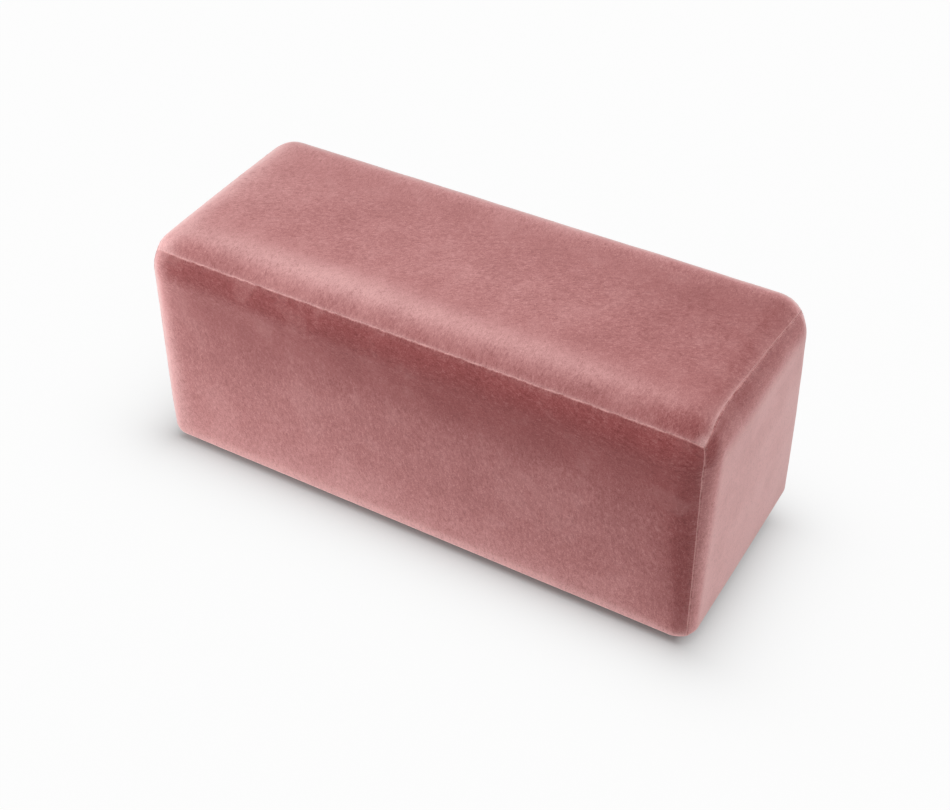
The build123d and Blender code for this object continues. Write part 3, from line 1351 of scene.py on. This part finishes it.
@dataclass
class VelvetCover:
    """The sewn cover: a seat panel, two long panels and two end panels, folded in where they meet.

    Lengths are in metres. The angle of each panel's strokes, brushed, and the turn of the strokes close under the
    seat's seam, comb_turn, are in degrees. A seam on a panel longer than long_from has the share long_groove of the
    groove's depth. The pairs open_shade_seat and open_shade_sides are how far the pile darkens beside the seat's seam
    and beside the others, on the seat and on the sides, partly as it opens there and partly as painted shade.
    turned_up_highlight paints a highlight along the seat's seams.
    """

    form: BodyForm = BodyForm()
    relief: SeamRelief = SeamRelief()
    thickness: float = 0.0022
    step: float = 0.0062
    soft_edge: float = 0.052
    seam_allowance: float = 0.012
    seam_gap: float = 0.00004
    gap_reach: float = 0.0012
    edge_reach: float = 0.002
    long_groove: float = 0.3
    long_from: float = 0.8
    unevenness: float = 0.0005
    even_border: float = 0.03
    base_rows: int = 8
    hem_rows: int = 6
    brushed: tuple[float, ...] = (58.0, -12.0, 0.0, -10.0, 0.0)
    comb_turn: float = -64.0
    comb_reach: float = 0.085
    comb_excess: float = 1.6
    panel_shift: float = 0.7
    # partly painted shade: how far the pile darkens beside the seams, on the seat and on the sides, and how much on
    # the seat
    open_shade_seat: tuple[float, float] = (0.012, 0.020)
    open_shade_sides: tuple[float, float] = (0.075, 0.022)
    open_shade_share: float = 0.4
    # a painted highlight along the seat's seams, as pile turned up there: lift and reach of each band
    turned_up_highlight: tuple[tuple[float, float], ...] = ((0.20, 0.020), (0.22, 0.0042))

    def across(self, is_long: bool) -> np.ndarray:
        """Stations along X for a long panel, or along Y for an end panel."""
        whole = self.form.length if is_long else self.form.width
        return stations(whole / 2 - self.form.shoulder_reach, self.soft_edge, self.step, NEAR_SEAM)

    def up(self) -> np.ndarray:
        """Stations from the hem's edge to the seat's seam.

        Returns:
            The stations, in order.
        """
        straight = self.form.rim - self.form.shoulder_drop - self.form.base_radius
        shoulder = 2 - np.array([distance / self.soft_edge for distance in NEAR_SEAM])[::-1]
        return np.concatenate(
            [
                np.linspace(-2, -1, self.hem_rows, endpoint=False),
                np.linspace(-1, 0, self.base_rows, endpoint=False),
                np.linspace(0, 1, round(straight / self.step) + 1),
                shoulder,
            ]
        )

    def panel(self, name: str, points: np.ndarray, hemmed: bool, index: int) -> Slab:
        """Shapes one panel: its seams' relief, its unevenness and its underside.

        Args:
            name: The panel's name.
            points: The grid of the plain form.
            hemmed: Whether the start of the second axis is a hem, and no seam.
            index: The panel's number, which sets its own draws.

        Returns:
            The panel's slab.
        """
        normal = outward(points)
        along, up = lengths(points, 0), lengths(points, 1)
        middle_row, middle_column = points.shape[1] // 2, points.shape[0] // 2
        flat_u = along[:, middle_row] - along[-1, middle_row] / 2
        flat_v = up[middle_column] - up[middle_column, -1] / 2
        cut_u, cut_v = np.meshgrid(flat_u, flat_v, indexing="ij")
        from_sides = np.minimum(along, along[-1:] - along)
        from_seat = up[:, -1:] - up
        if not hemmed:
            from_seat = np.minimum(from_seat, up)
        seam = from_sides * from_seat / np.maximum((from_sides**4 + from_seat**4) ** 0.25, 1e-9)
        run = np.where(from_sides < from_seat, cut_v, cut_u) + index
        along_long = (from_seat < from_sides) & (np.ptp(flat_u) > self.long_from)
        height = self.relief.height(seam, run, np.where(along_long, self.long_groove, 1.0), 10 + index)
        fade = np.clip(seam / self.even_border, 0, 1)
        if hemmed:
            fade = fade * np.clip((points[..., 2] - self.form.underside) / self.even_border, 0, 1)
        height = height + self.unevenness * Ripple(50 + index, 0.09, 0.35).at(points) * fade
        edgeward = self.toward_edge(points, from_sides, from_seat)
        shrink = self.seam_gap * np.exp(-seam / self.gap_reach)
        outer = points + normal * height[..., None] - edgeward * shrink[..., None]
        inner = points - normal * self.thickness - edgeward * self.seam_gap
        shift = np.full_like(cut_u, self.panel_shift * index)
        angle = math.radians(self.brushed[index])
        swept = angle + math.radians(self.comb_turn)
        combed = np.clip(self.comb_excess - from_seat / self.comb_reach, 0, 1)
        reach_seat, reach_side = self.open_shade_sides if hemmed else self.open_shade_seat
        # darker beside the seams: partly the pile opening, partly painted shade
        opened_and_shade = 1 - (1 - np.exp(-from_seat / reach_seat)) * (1 - np.exp(-from_sides / reach_side))
        # painted highlights and painted shade from the marks, carried as the pile's lie
        lie = sum((mark.at(cut_u, cut_v) for mark in PAINTED_LIGHT_MARKS if mark.panel == name), np.zeros_like(cut_u))
        if not hemmed:
            opened_and_shade = self.open_shade_share * opened_and_shade
            # a painted highlight along the seat's seams
            lie = lie + sum(lift * bell(seam, reach) for lift, reach in self.turned_up_highlight)
        layers = {
            "seam": seam,
            "run": run,
            "open": opened_and_shade,
            "lie": lie,
            "brush": np.stack([*swung(cut_u, cut_v, angle), shift], -1),
            "comb": np.stack([*swung(cut_u, cut_v, swept), combed], -1),
        }
        return Slab(outer, inner, np.stack([cut_u, cut_v, shift], -1), layers)

    def toward_edge(self, points: np.ndarray, from_sides: np.ndarray, from_seat: np.ndarray) -> np.ndarray:
        """Directions in the surface toward the nearest seam, of a length that fades away from it.

        Args:
            points: The grid of the plain form.
            from_sides: Distances from the seams at the ends of its first axis.
            from_seat: Distances from those at the ends of its second.

        Returns:
            A vector for each point, of length one at a seam.
        """
        total = 0.0
        for axis, distance in enumerate((from_sides, from_seat)):
            count = points.shape[axis]
            shape = (-1, 1, 1) if axis == 0 else (1, -1, 1)
            sign = np.where(np.arange(count) < count // 2, -1.0, 1.0).reshape(shape)
            near = np.exp(-distance / self.edge_reach)[..., None]
            total = total + unit(np.gradient(points, axis=axis)) * sign * near
        return total

    def sew(
        self,
        name: str,
        points: np.ndarray,
        hemmed: bool,
        index: int,
        pile: bpy.types.Material,
        backing: bpy.types.Material,
    ) -> bpy.types.Object:
        """Builds one panel as a piece, and declares its cloth.

        Args:
            name: Name of the piece, which stands for the node of that name in the CAD.
            points: The grid of the plain form.
            hemmed: Whether the panel ends in a hem.
            index: The panel's number.
            pile: Material of its outside.
            backing: Material of its inside.

        Returns:
            The piece.
        """
        slab = self.panel(name, points, hemmed, index)
        piece = declare(slab.build("velvet_" + name, pile, backing), "cover_" + name)
        return piece

    def build(self) -> list[bpy.types.Object]:
        """Builds the five panels.

        Returns:
            The pieces.
        """
        pile = VelvetPile().material()
        backing = WovenCloth("velvet_backing", rgb(120, 84, 82), rgb(186, 150, 146), 1100.0, 0.0002).material()
        seat = self.form.seat(self.across(True), self.across(False))
        made = [self.sew("top", seat, False, 0, pile, backing)]
        for index, side in enumerate(Side, start=1):
            points = self.form.side(side, self.across(side.is_long), self.up())
            made.append(self.sew(side.word, points, True, index, pile, backing))
        return made


@dataclass(frozen=True)
class BoardBox:
    """The box that the side boards close: its half sizes, and the top of the hessian over it."""

    half_x: float = 0.512
    half_y: float = 0.187
    deck_top: float = 0.3905


@dataclass
class Padding:
    """Fibre wadding under the velvet, and the foam under that."""

    form: BodyForm = BodyForm()
    clearance: float = 0.0030
    wadding: float = 0.0044
    step: float = 0.022
    soft_edge: float = 0.052
    box: BoardBox = BoardBox()
    foam_spread: float = 14.0
    least_foam: float = 0.003
    joint: float = 0.0004
    shoulder_rows: tuple[float, ...] = (1.15, 1.4, 1.7, 1.98)
    side_rows: int = 16

    def across(self, is_long: bool) -> np.ndarray:
        """Stations along a panel, coarser than the cover's."""
        whole = self.form.length if is_long else self.form.width
        return stations(whole / 2 - self.form.shoulder_reach, self.soft_edge, self.step, COARSE_EDGE)

    def layer(self, points: np.ndarray, outer_depth: float, inner_depth: float) -> Slab:
        """A slab between two depths under a grid of the form.

        Args:
            points: The grid of the plain form.
            outer_depth: Depth of its outer layer.
            inner_depth: Depth of its inner layer.

        Returns:
            The slab.
        """
        normal = outward(points)
        return Slab(points - normal * outer_depth, points - normal * inner_depth, points)

    def side_foam(self, side: Side, stretch: np.ndarray) -> Slab:
        """The foam of one side, from under the fleece back to its board and up to the seat's foam.

        Args:
            side: Which side.
            stretch: Stations along it.

        Returns:
            The slab.
        """
        rows = np.concatenate([np.linspace(-0.9, 0, 4, endpoint=False), np.linspace(0, 1, self.side_rows)])
        points = self.form.side(side, stretch, rows)
        outer = points - outward(points) * (self.clearance + self.wadding + self.joint)
        outer[..., 2] += (self.box.deck_top - self.joint - outer[..., -1:, 2]) * np.clip(rows, 0, 1)
        back = outer.copy()
        own, other = (1, 0) if side.is_long else (0, 1)
        half = (self.box.half_x, self.box.half_y)
        back[..., own] = (half[own] + self.joint) * np.sign(outer[..., own])
        reach = abs(outer[..., other]).max(axis=0, keepdims=True)
        back[..., other] = outer[..., other] / reach * (half[other] - self.joint)
        return Slab(outer, back, outer)

    def pad(
        self, slab: Slab, name: str, node: str, stuff: tuple[str, bpy.types.Material], fill: float
    ) -> bpy.types.Object:
        """Builds a padded piece that stands for a node.

        Args:
            slab: Its shape.
            name: The piece's name.
            node: The node that it stands for.
            stuff: A name for a material slot, which is not used, and the piece's material.
            fill: How full it is, from 0 to 1; not used.

        Returns:
            The piece.
        """
        slot, finish = stuff
        piece = declare(slab.build(name, finish), node)
        return piece

    def build(self) -> list[bpy.types.Object]:
        """Builds the wadding and the foam.

        Returns:
            The pieces.
        """
        fleece = "wadding", Filling("fleece", rgb(206, 206, 202), rgb(240, 240, 238), 260.0, True, 0.0009).material()
        foam = "foam", Filling("foam", rgb(196, 184, 138), rgb(232, 222, 182), 800.0, False, 0.0005).material()
        seat = self.form.seat(self.across(True), self.across(False))
        inner = self.clearance + self.wadding
        made = [self.pad(self.layer(seat, self.clearance, inner), "seat_fleece", "seat_wadding", fleece, 0.7)]
        block_top = self.form.seat(self.across(True), self.across(False), self.foam_spread)
        foam_top = block_top - outward(block_top) * (inner + self.joint)
        foam_top[..., 2] = np.maximum(foam_top[..., 2], self.box.deck_top + self.least_foam)
        foam_under = foam_top.copy()
        foam_under[..., 2] = self.box.deck_top + self.joint
        made.append(self.pad(Slab(foam_top, foam_under, foam_top), "seat_pad", "seat_foam", foam, 0.85))
        low = np.linspace(-0.4, 0, 2, endpoint=False)
        rows = np.concatenate([low, np.linspace(0, 1, self.side_rows), self.shoulder_rows])
        for side in Side:
            stretch = self.across(side.is_long)
            sheet = self.layer(self.form.side(side, stretch, rows), self.clearance, inner)
            made.append(self.pad(sheet, f"{side.word}_fleece", "side_wadding", fleece, 0.6))
            block = self.side_foam(side, stretch)
            made.append(self.pad(block, f"{side.word}_pad", f"side_foam_{side.word}", foam, 0.85))
        return made


@dataclass
class SeatDeck:
    """Elastic webbing woven over the frame, hessian over it, and the staples that hold the straps."""

    strap_width: float = 0.050
    strap_thickness: float = 0.0019
    strap_gap: float = 0.0002
    strap_clearance: float = 0.00005
    strap_points: int = 9
    strap_step: float = 0.004
    climb_start: float = 0.001
    climb_reach: float = 0.012
    worn_edge: float = 0.0015
    worn_share: float = 0.4
    frame_top: float = 0.3853
    box: BoardBox = BoardBox()
    half_along: float = 0.505
    half_across: float = 0.180
    post_x: float = 0.463
    post_y: float = 0.138
    crosswise: int = 7
    lengthwise: int = 3
    sag: float = 0.0002
    hessian_high: float = 0.0002
    hessian_low: float = 0.0009
    hessian_grid: tuple[int, int] = (130, 50)

    def spaced(self, half: float, count: int) -> list[float]:
        """Even places along a span."""
        return [half * (2 * place + 1 - count) / count for place in range(count)]

    def strap(
        self,
        half: float,
        crossings: Sequence[float],
        over_first: bool,
        middle: float,
        lengthwise: bool,
        finish: bpy.types.Material,
    ) -> bpy.types.Object:
        """Builds one strap, which climbs smoothly over every second strap that it crosses.

        Args:
            half: Half its length.
            crossings: Places of the straps that it crosses.
            over_first: Whether it climbs over the first of them.
            middle: Its own place across.
            lengthwise: Whether it runs along X.
            finish: Its material.

        Returns:
            The strap.
        """
        run = np.linspace(-half, half, round(half / self.strap_step))
        rise = np.zeros_like(run)
        for place, crossing in enumerate(crossings):
            if (place % 2 == 0) == over_first:
                away = (abs(run - crossing) - self.strap_width / 2 - self.climb_start) / self.climb_reach
                rise = np.maximum(rise, 1 - eased(np.clip(away, 0, 1)))
        across = np.linspace(-self.strap_width / 2, self.strap_width / 2, self.strap_points)
        u, v = np.meshgrid(run, across, indexing="ij")
        worn = np.clip((abs(v) - self.strap_width / 2 + self.worn_edge) / self.worn_edge, 0, 1)
        edge = 1 - worn**2 * self.worn_share
        base = self.frame_top + self.strap_clearance + rise[:, None] * (self.strap_thickness + self.strap_gap)
        top = base + self.strap_thickness * (0.5 + 0.5 * edge)
        low = base + self.strap_thickness * (0.5 - 0.5 * edge)
        x, y = (u, v + middle) if lengthwise else (v + middle, u)
        outer, inner = np.stack([x, y, top], -1), np.stack([x, y, low], -1)
        cut = np.stack([u, v, np.full_like(u, middle)], -1)
        if not lengthwise:
            outer, inner, cut = outer[::-1], inner[::-1], cut[::-1]
        return Slab(outer, inner, cut).build("strap", finish)

    def build(self) -> list[bpy.types.Object]:
        """Builds the straps and the hessian, and dresses the staples.

        Returns:
            The pieces.
        """
        elastic = ElasticWebbing().material()
        xs, ys = self.spaced(self.post_x, self.crosswise), self.spaced(self.post_y, self.lengthwise)
        made = []
        for name, half, own, other, lengthwise in (
            ("lengthwise", self.half_along, ys, xs, True),
            ("crosswise", self.half_across, xs, ys, False),
        ):
            straps = []
            for number, middle in enumerate(own):
                over_first = (number % 2 == 1) == lengthwise
                straps.append(self.strap(half, other, over_first, middle, lengthwise, elastic))
            piece = declare(join_meshes(f"straps_{name}", straps), f"webbing_{name}")
            made.append(piece)
        return [*made, self.hessian(), dress("webbing_staples", DrawnSteel("staple_wire").material())]

    def hessian(self) -> bpy.types.Object:
        """Builds the hessian over the straps.

        Returns:
            The piece.
        """
        jute = WovenCloth("jute_hessian", rgb(112, 84, 50), rgb(176, 142, 96), 420.0, 0.0005).material()
        half_x, half_y = self.box.half_x, self.box.half_y
        count_x, count_y = self.hessian_grid
        x, y = np.linspace(-half_x, half_x, count_x), np.linspace(-half_y, half_y, count_y)
        u, v = np.meshgrid(x, y, indexing="ij")
        ripple = self.sag * Ripple(71, 0.03, 0.12).at(np.stack([u, v], -1))
        top, low = (
            np.stack([u, v, self.box.deck_top - depth + ripple * 0.5], -1)
            for depth in (self.hessian_high, self.hessian_low)
        )
        cloth = Slab(top, low, np.stack([u, v, np.zeros_like(u)], -1)).build("hessian_cloth", jute)
        piece = declare(cloth, "seat_hessian")
        return piece


@dataclass
class TimberFrame:
    """The glued timber frame and the boards that close its sides, dressed where the CAD has them."""

    boards: str = "board_"
    timbers: tuple[str, ...] = ("corner_", "stud_", "top_rail", "bottom_", "seat_cross")
    uprights: tuple[str, ...] = ("corner_post", "stud")
    outer_rails: tuple[str, ...] = ("top_rail", "bottom_rail")

    def grain(self, node: str) -> Along:
        """The way that a timber's grain runs.

        Args:
            node: The timber's node.

        Returns:
            The direction of its grain.
        """
        if node.startswith(self.uprights):
            return Along.Z
        if "cross_rail" in node or (node.startswith(self.outer_rails) and node.endswith(("left", "right"))):
            return Along.Y
        return Along.X

    def build(self) -> list[bpy.types.Object]:
        """Dresses every timber and board.

        Returns:
            The pieces.
        """
        woods = {along: Timber(along).material() for along in Along}
        pressed = PressedBoard().material()
        made = [dress(name, woods[self.grain(name)]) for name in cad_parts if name.startswith(self.timbers)]
        return made + [dress(name, pressed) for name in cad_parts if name.startswith(self.boards)]


@dataclass
class Underside:
    """The dust cover, the staples that hold it and the hem, and the glides, in metres."""

    form: BodyForm = BodyForm()
    half_x: float = 0.518
    half_y: float = 0.193
    cloth_top: float = 0.0149
    cloth_thickness: float = 0.0006
    cloth_gap: float = 0.0002
    fold: float = 0.014
    fold_start: float = 0.0128
    fold_ease: float = 0.0012
    fold_depth: float = 0.0007
    fold_held: float = 0.7
    edge_points: tuple[float, ...] = (0, 0.0015, 0.004, 0.008, 0.0125, 0.0135, 0.0145, 0.018, 0.026, 0.038)
    cloth_step: float = 0.0125
    step_border: float = 0.05
    sag: float = 0.0016
    hold_reach: float = 0.011
    pucker: float = 0.0003
    pucker_fade: float = 0.05
    staple_inset: float = 0.007
    staple_pitch: float = 0.075
    hem_pitch: float = 0.040
    hem_line: float = 0.050
    crown: float = 0.012
    leg: float = 0.008
    wire: float = 0.0006
    wire_sides: int = 8
    bend: float = 0.0011
    under_cloth: float = 0.0012
    under_hem: float = 0.0001

    def rim_places(self, half_x: float, half_y: float, pitch: float) -> list[Triple]:
        """Places round a rectangle, about a pitch apart, with the angle of the side that each lies on.

        Args:
            half_x: Half the rectangle's length.
            half_y: Half its width.
            pitch: Distance between places.

        Returns:
            x, y and angle of each place.
        """
        places = []
        for angle, half, offset in ((0.0, half_x, half_y), (math.pi / 2, half_y, half_x)):
            count = round(2 * half / pitch)
            for step in range(count):
                along = half * (2 * step + 1 - count) / count
                for sign in (-1, 1):
                    places.append((along, sign * offset, angle) if angle == 0 else (sign * offset, along, angle))
        return places

    def cloth_rim(self) -> list[Triple]:
        """Places of the staples round the dust cloth."""
        return self.rim_places(self.half_x - self.staple_inset, self.half_y - self.staple_inset, self.staple_pitch)

    def dust_cover(self) -> bpy.types.Object:
        """Builds the cloth, folded under at its edges, pulled in at its staples and sagging a little.

        Returns:
            The piece.
        """
        axes = []
        for half in (self.half_x, self.half_y):
            outer = np.array([half - distance for distance in self.edge_points])
            border = half - self.step_border
            flat = np.linspace(-half + self.step_border, border, round(2 * border / self.cloth_step))
            axes.append(np.concatenate([-outer, flat, outer[::-1]]))
        x, y = np.meshgrid(*axes, indexing="ij")
        from_edge = np.minimum(self.half_x - abs(x), self.half_y - abs(y))
        hold = np.zeros_like(x)
        for place_x, place_y, _ in self.cloth_rim():
            away = ((x - place_x) ** 2 + (y - place_y) ** 2) / self.hold_reach**2
            hold = np.maximum(hold, np.exp(-away))
        belly = (1 - (x / self.half_x) ** 2) * (1 - (y / self.half_y) ** 2)
        folded = 1 - np.clip((from_edge - self.fold_start) / self.fold_ease, 0, 1)
        drop = self.sag * belly + self.fold_depth * folded * (1 - self.fold_held * hold)
        ripple = Ripple(83, 0.02, 0.08).at(np.stack([x, y], -1))
        drop = drop + self.pucker * (1 - hold) * ripple * np.exp(-from_edge / self.pucker_fade)
        level = self.cloth_top - self.cloth_gap - np.maximum(drop, 0)
        low = np.stack([x, y, level - self.cloth_thickness], -1)
        high = np.stack([x, y, level], -1)
        cut = np.stack([x, y, np.zeros_like(x)], -1)
        cloth = Slab(low[::-1], high[::-1], cut[::-1]).build("dust_cloth", SpunCloth().material())
        piece = declare(cloth, "dust_cover")
        flat = (2 * (self.half_y + self.fold), 2 * (self.half_x + self.fold))
        return piece

    def staple(self) -> tuple[np.ndarray, list[list[int]]]:
        """Shapes one wire staple, its crown level and its legs up.

        Returns:
            Its points, and its faces with outward sides.
        """
        half, bend, sides = self.crown / 2, self.bend, self.wire_sides
        turn = [(half - bend + bend * math.sin(a), bend - bend * math.cos(a)) for a in (0.0, 0.8, math.pi / 2)]
        tip = (half, self.leg)
        path = np.array([(-x, z) for x, z in [tip, *turn[::-1]]] + [*turn, tip])
        tangent = np.gradient(path, axis=0)
        tangent /= np.linalg.norm(tangent, axis=1, keepdims=True)
        angles = np.arange(sides) * math.tau / sides
        normal = np.stack([-tangent[:, 1], tangent[:, 0]], 1)
        ring = path[:, None, :] + normal[:, None, :] * (self.wire * np.cos(angles))[None, :, None]
        across = np.broadcast_to(self.wire * np.sin(angles), ring.shape[:2])
        tube = np.stack([ring[..., 0], across, ring[..., 1] + self.wire], -1)
        at = np.arange(len(path) * sides).reshape(len(path), sides)
        following = np.roll(at, -1, axis=1)
        quads = np.stack([at[:-1], at[1:], following[1:], following[:-1]], -1).reshape(-1, 4).tolist()
        return tube.reshape(-1, 3), [*quads, at[0].tolist(), at[-1][::-1].tolist()]

    def staples(
        self, name: str, places: Sequence[Triple], level: float, steel: bpy.types.Material
    ) -> bpy.types.Object:
        """Builds wire staples, crown down, with their legs in the frame.

        Args:
            name: The piece's name.
            places: x, y and angle of each staple.
            level: Height of the crown's underside.
            steel: Their material.

        Returns:
            The piece.
        """
        shape, staple_faces = self.staple()
        points, faces = [], []
        for number, (place_x, place_y, angle) in enumerate(places):
            cosine, sine = math.cos(angle), math.sin(angle)
            facing = np.array([[cosine, -sine, 0], [sine, cosine, 0], [0, 0, 1]])
            points.append(shape @ facing.T + np.array([place_x, place_y, level]))
            faces += [[corner + number * len(shape) for corner in face] for face in staple_faces]
        piece = new_piece(name, np.concatenate(points), faces, [len(face) == 4 for face in faces])
        piece.data.materials.append(steel)
        return declare(piece)

    def build(self) -> list[bpy.types.Object]:
        """Builds the underside.

        Returns:
            The pieces.
        """
        steel = DrawnSteel("underside_wire").material()
        cloth = self.dust_cover()
        level = self.cloth_top - self.cloth_thickness - self.under_cloth
        cloth_staples = self.staples("dust_cloth_staples", self.cloth_rim(), level, steel)
        reach_x, reach_y = self.form.length / 2 - self.hem_line, self.form.width / 2 - self.hem_line
        hem = self.rim_places(reach_x, reach_y, self.hem_pitch)
        hem_staples = self.staples("hem_staples", hem, self.form.underside + self.under_hem, steel)
        glides = dress("glides", MouldedNylon().material())
        nails = dress("glide_nails", DrawnSteel("nail_wire", rgb(214, 212, 206), rgb(166, 162, 154)).material())
        return [cloth, cloth_staples, hem_staples, glides, nails]


# Studio


@dataclass(frozen=True)
class Light:
    """A round soft light: its name, place, width in metres and power in watts."""

    name: str
    place: Triple
    size: float
    power: float
    aimed_at: Triple = (0.0, 0.0, 0.25)

    def build(self) -> bpy.types.Object:
        """Hangs the light, pointing at the bench.

        Returns:
            The light.
        """
        data = bpy.data.lights.new(self.name, "AREA")
        data.shape = "DISK"
        data.size = self.size
        data.energy = self.power
        light = put_in(self.name, data)
        place = Vector(self.place)
        aim = Vector(self.aimed_at) - place
        light.matrix_world = Matrix.Translation(place) @ aim.to_track_quat("-Z", "Y").to_matrix().to_4x4()
        return light


@dataclass
class Studio:
    """The pale floor with a painted shadow round the bench, the soft lights and the camera."""

    focal_px: float = 1566.3
    picture_width_px: float = 950.0
    azimuth: float = 31.133
    elevation: float = 40.802
    roll: float = -1.048
    distance: float = 2.7236
    target: Triple = (0.06215, -0.09338, 0.239)
    sensor_mm: float = 36.0
    farthest: float = 60.0
    floor_half: float = 6.0
    world_level: float = 0.37
    # the painted shadow: the backdrop's glow near the bench and away from it, how fast it fades out from the bench's
    # shifted footprint, and how dark the eye sees the floor near it
    backdrop_lift: float = 0.02
    backdrop_far: float = 0.975
    fade: float = 0.041
    shadow_footprint: Triple = (0.518, 0.165, 0.0)
    reach_of_shade: Triple = (0.7, 1.0, 1.0)
    shade_shift: Triple = (-0.004, -0.047, 0.0)
    floor_bounce: Colour = (0.92, 0.92, 0.92, 1.0)
    floor_grain: Colour = (0.8, 0.8, 0.8, 1.0)
    painted_shadow_floor: Colour = (0.44, 0.44, 0.44, 1.0)
    floor_gloss: float = 0.05
    lights: tuple[Light, ...] = (
        Light("overhead", (0.2, -0.4, 2.4), 1.2, 21.5),
        Light("front_left", (-1.6, -1.0, 0.8), 0.9, 12.5),
        Light("front_high", (0.0, -2.4, 2.2), 1.6, 13.0),
        Light("right_low", (2.4, 0.6, 0.8), 1.4, 9.5),
    )

    def camera(self) -> bpy.types.Object:
        """Sets up the camera.

        Returns:
            The camera.
        """
        azimuth, elevation, roll = (math.radians(angle) for angle in (self.azimuth, self.elevation, self.roll))
        level = math.cos(elevation)
        back = Vector((math.sin(azimuth) * level, -math.cos(azimuth) * level, math.sin(elevation)))
        right = (-back).cross(Vector((0, 0, 1))).normalized()
        down = (-back).cross(right)
        turned_right = right * math.cos(roll) - down * math.sin(roll)
        turned_down = right * math.sin(roll) + down * math.cos(roll)
        data = bpy.data.cameras.new("camera")
        data.sensor_width = self.sensor_mm
        data.lens = self.focal_px / self.picture_width_px * self.sensor_mm
        data.clip_end = self.farthest
        camera = put_in("camera", data)
        axes = Matrix((turned_right, -turned_down, back)).transposed().to_4x4()
        camera.matrix_world = Matrix.Translation(Vector(self.target) + back * self.distance) @ axes
        bpy.context.scene.camera = camera
        return camera

    def seen_directly(self, graph: Graph) -> bpy.types.NodeSocket:
        """One for rays that reach the eye straight, or by gloss or glass.

        Args:
            graph: The graph of the floor or the world.

        Returns:
            The mask.
        """
        path = graph.add("LightPath")
        either = graph.operate("MAXIMUM", path.outputs["Is Camera Ray"], path.outputs["Is Glossy Ray"])
        return graph.operate("MAXIMUM", either, path.outputs["Is Transmission Ray"])

    def world(self) -> None:
        """Lights the room evenly, with a white backdrop for the eye."""
        world = bpy.data.worlds.new("room")
        bpy.context.scene.world = world
        world.use_nodes = True
        graph = Graph(world.node_tree)
        background = next(node for node in world.node_tree.nodes if node.type == "BACKGROUND")
        background.inputs["Color"].default_value = (1, 1, 1, 1)
        direct = self.seen_directly(graph)
        strength = graph.add("MapRange", {"Value": direct, "To Min": self.world_level, "To Max": 1.0})
        graph.feed(background.inputs["Strength"], strength.outputs[0])

    def out_of_painted_shadow(self, graph: Graph, place: bpy.types.NodeSocket) -> bpy.types.NodeSocket:
        """A mask for the painted shadow that grows from nothing round the bench's footprint to one well away from it.

        Args:
            graph: The floor's graph.
            place: The place on the floor.

        Returns:
            The mask.
        """
        past = graph.add("VectorMath", {0: place, 1: self.shade_shift}, operation="SUBTRACT").outputs[0]
        past = graph.add("VectorMath", {0: past}, operation="ABSOLUTE").outputs[0]
        past = graph.add("VectorMath", {0: past, 1: self.shadow_footprint}, operation="SUBTRACT").outputs[0]
        past = graph.add("VectorMath", {0: past, 1: (0.0, 0.0, 0.0)}, operation="MAXIMUM").outputs[0]
        past = graph.stretched(past, self.reach_of_shade)
        distance = graph.add("VectorMath", {0: past}, operation="LENGTH").outputs["Value"]
        near = graph.operate("POWER", math.e, graph.operate("DIVIDE", distance, -self.fade))
        return graph.minus(1.0, near)

    def floor(self) -> bpy.types.Object:
        """Lays the floor, which keeps the bench's real shadow near it and adds a painted shadow round its footprint.

        Returns:
            The floor.
        """
        half = self.floor_half
        corners = [(-half, -half, 0), (half, -half, 0), (half, half, 0), (-half, half, 0)]
        floor = new_piece("floor", np.array(corners, float), [[0, 1, 2, 3]], smooth=False)
        material, graph, shader = new_material("floor")
        direct = self.seen_directly(graph)
        place = object_place(graph)
        away = self.out_of_painted_shadow(graph, place)
        grain = graph.noise(place, 40.0, 3.0, 0.6)
        pale = graph.mix(graph.times(grain, 0.02), self.floor_bounce, self.floor_grain)
        # painted shadow: near the bench the eye sees a darker floor, lit by the lamps, whether or not the bench blocks
        # them
        seen = graph.mix(away, self.painted_shadow_floor, (0.0, 0.0, 0.0, 1.0))
        # painted shadow: the backdrop's glow dims to almost nothing near the bench
        glowing = {"Value": away, "To Min": self.backdrop_lift, "To Max": self.backdrop_far}
        lift = graph.add("MapRange", glowing).outputs[0]
        graph.feed(shader.inputs["Base Color"], graph.mix(direct, pale, seen))
        graph.feed(shader.inputs["Roughness"], graph.between(grain, 0.3, 0.7, 0.88, 0.94))
        shader.inputs["Specular IOR Level"].default_value = self.floor_gloss
        glow = graph.add("Emission", {"Color": (1, 1, 1, 1), "Strength": graph.times(direct, lift)})
        both = graph.add("AddShader", {0: shader.outputs[0], 1: glow.outputs[0]})
        output = next(node for node in material.node_tree.nodes if node.type == "OUTPUT_MATERIAL")
        graph.feed(output.inputs["Surface"], both.outputs[0])
        floor.data.materials.append(material)
        return floor

    def build(self) -> list[bpy.types.Object]:
        """Sets up the whole studio.

        Returns:
            The camera, the floor and the lights.
        """
        bpy.context.scene.view_settings.view_transform = "Standard"
        camera = self.camera()
        self.world()
        return [camera, self.floor(), *(light.build() for light in self.lights)]


def main() -> None:
    """Builds the studio and the bench, from the outside in, and reports each piece."""
    logging.basicConfig(level=logging.INFO, format="%(name)s: %(message)s")
    for assembly in (Studio(), VelvetCover(), Padding(), SeatDeck(), TimberFrame(), Underside()):
        for piece in assembly.build():
            log.info("%s: %s", type(assembly).__name__, piece.name)


if __name__ == "__main__":
    main()
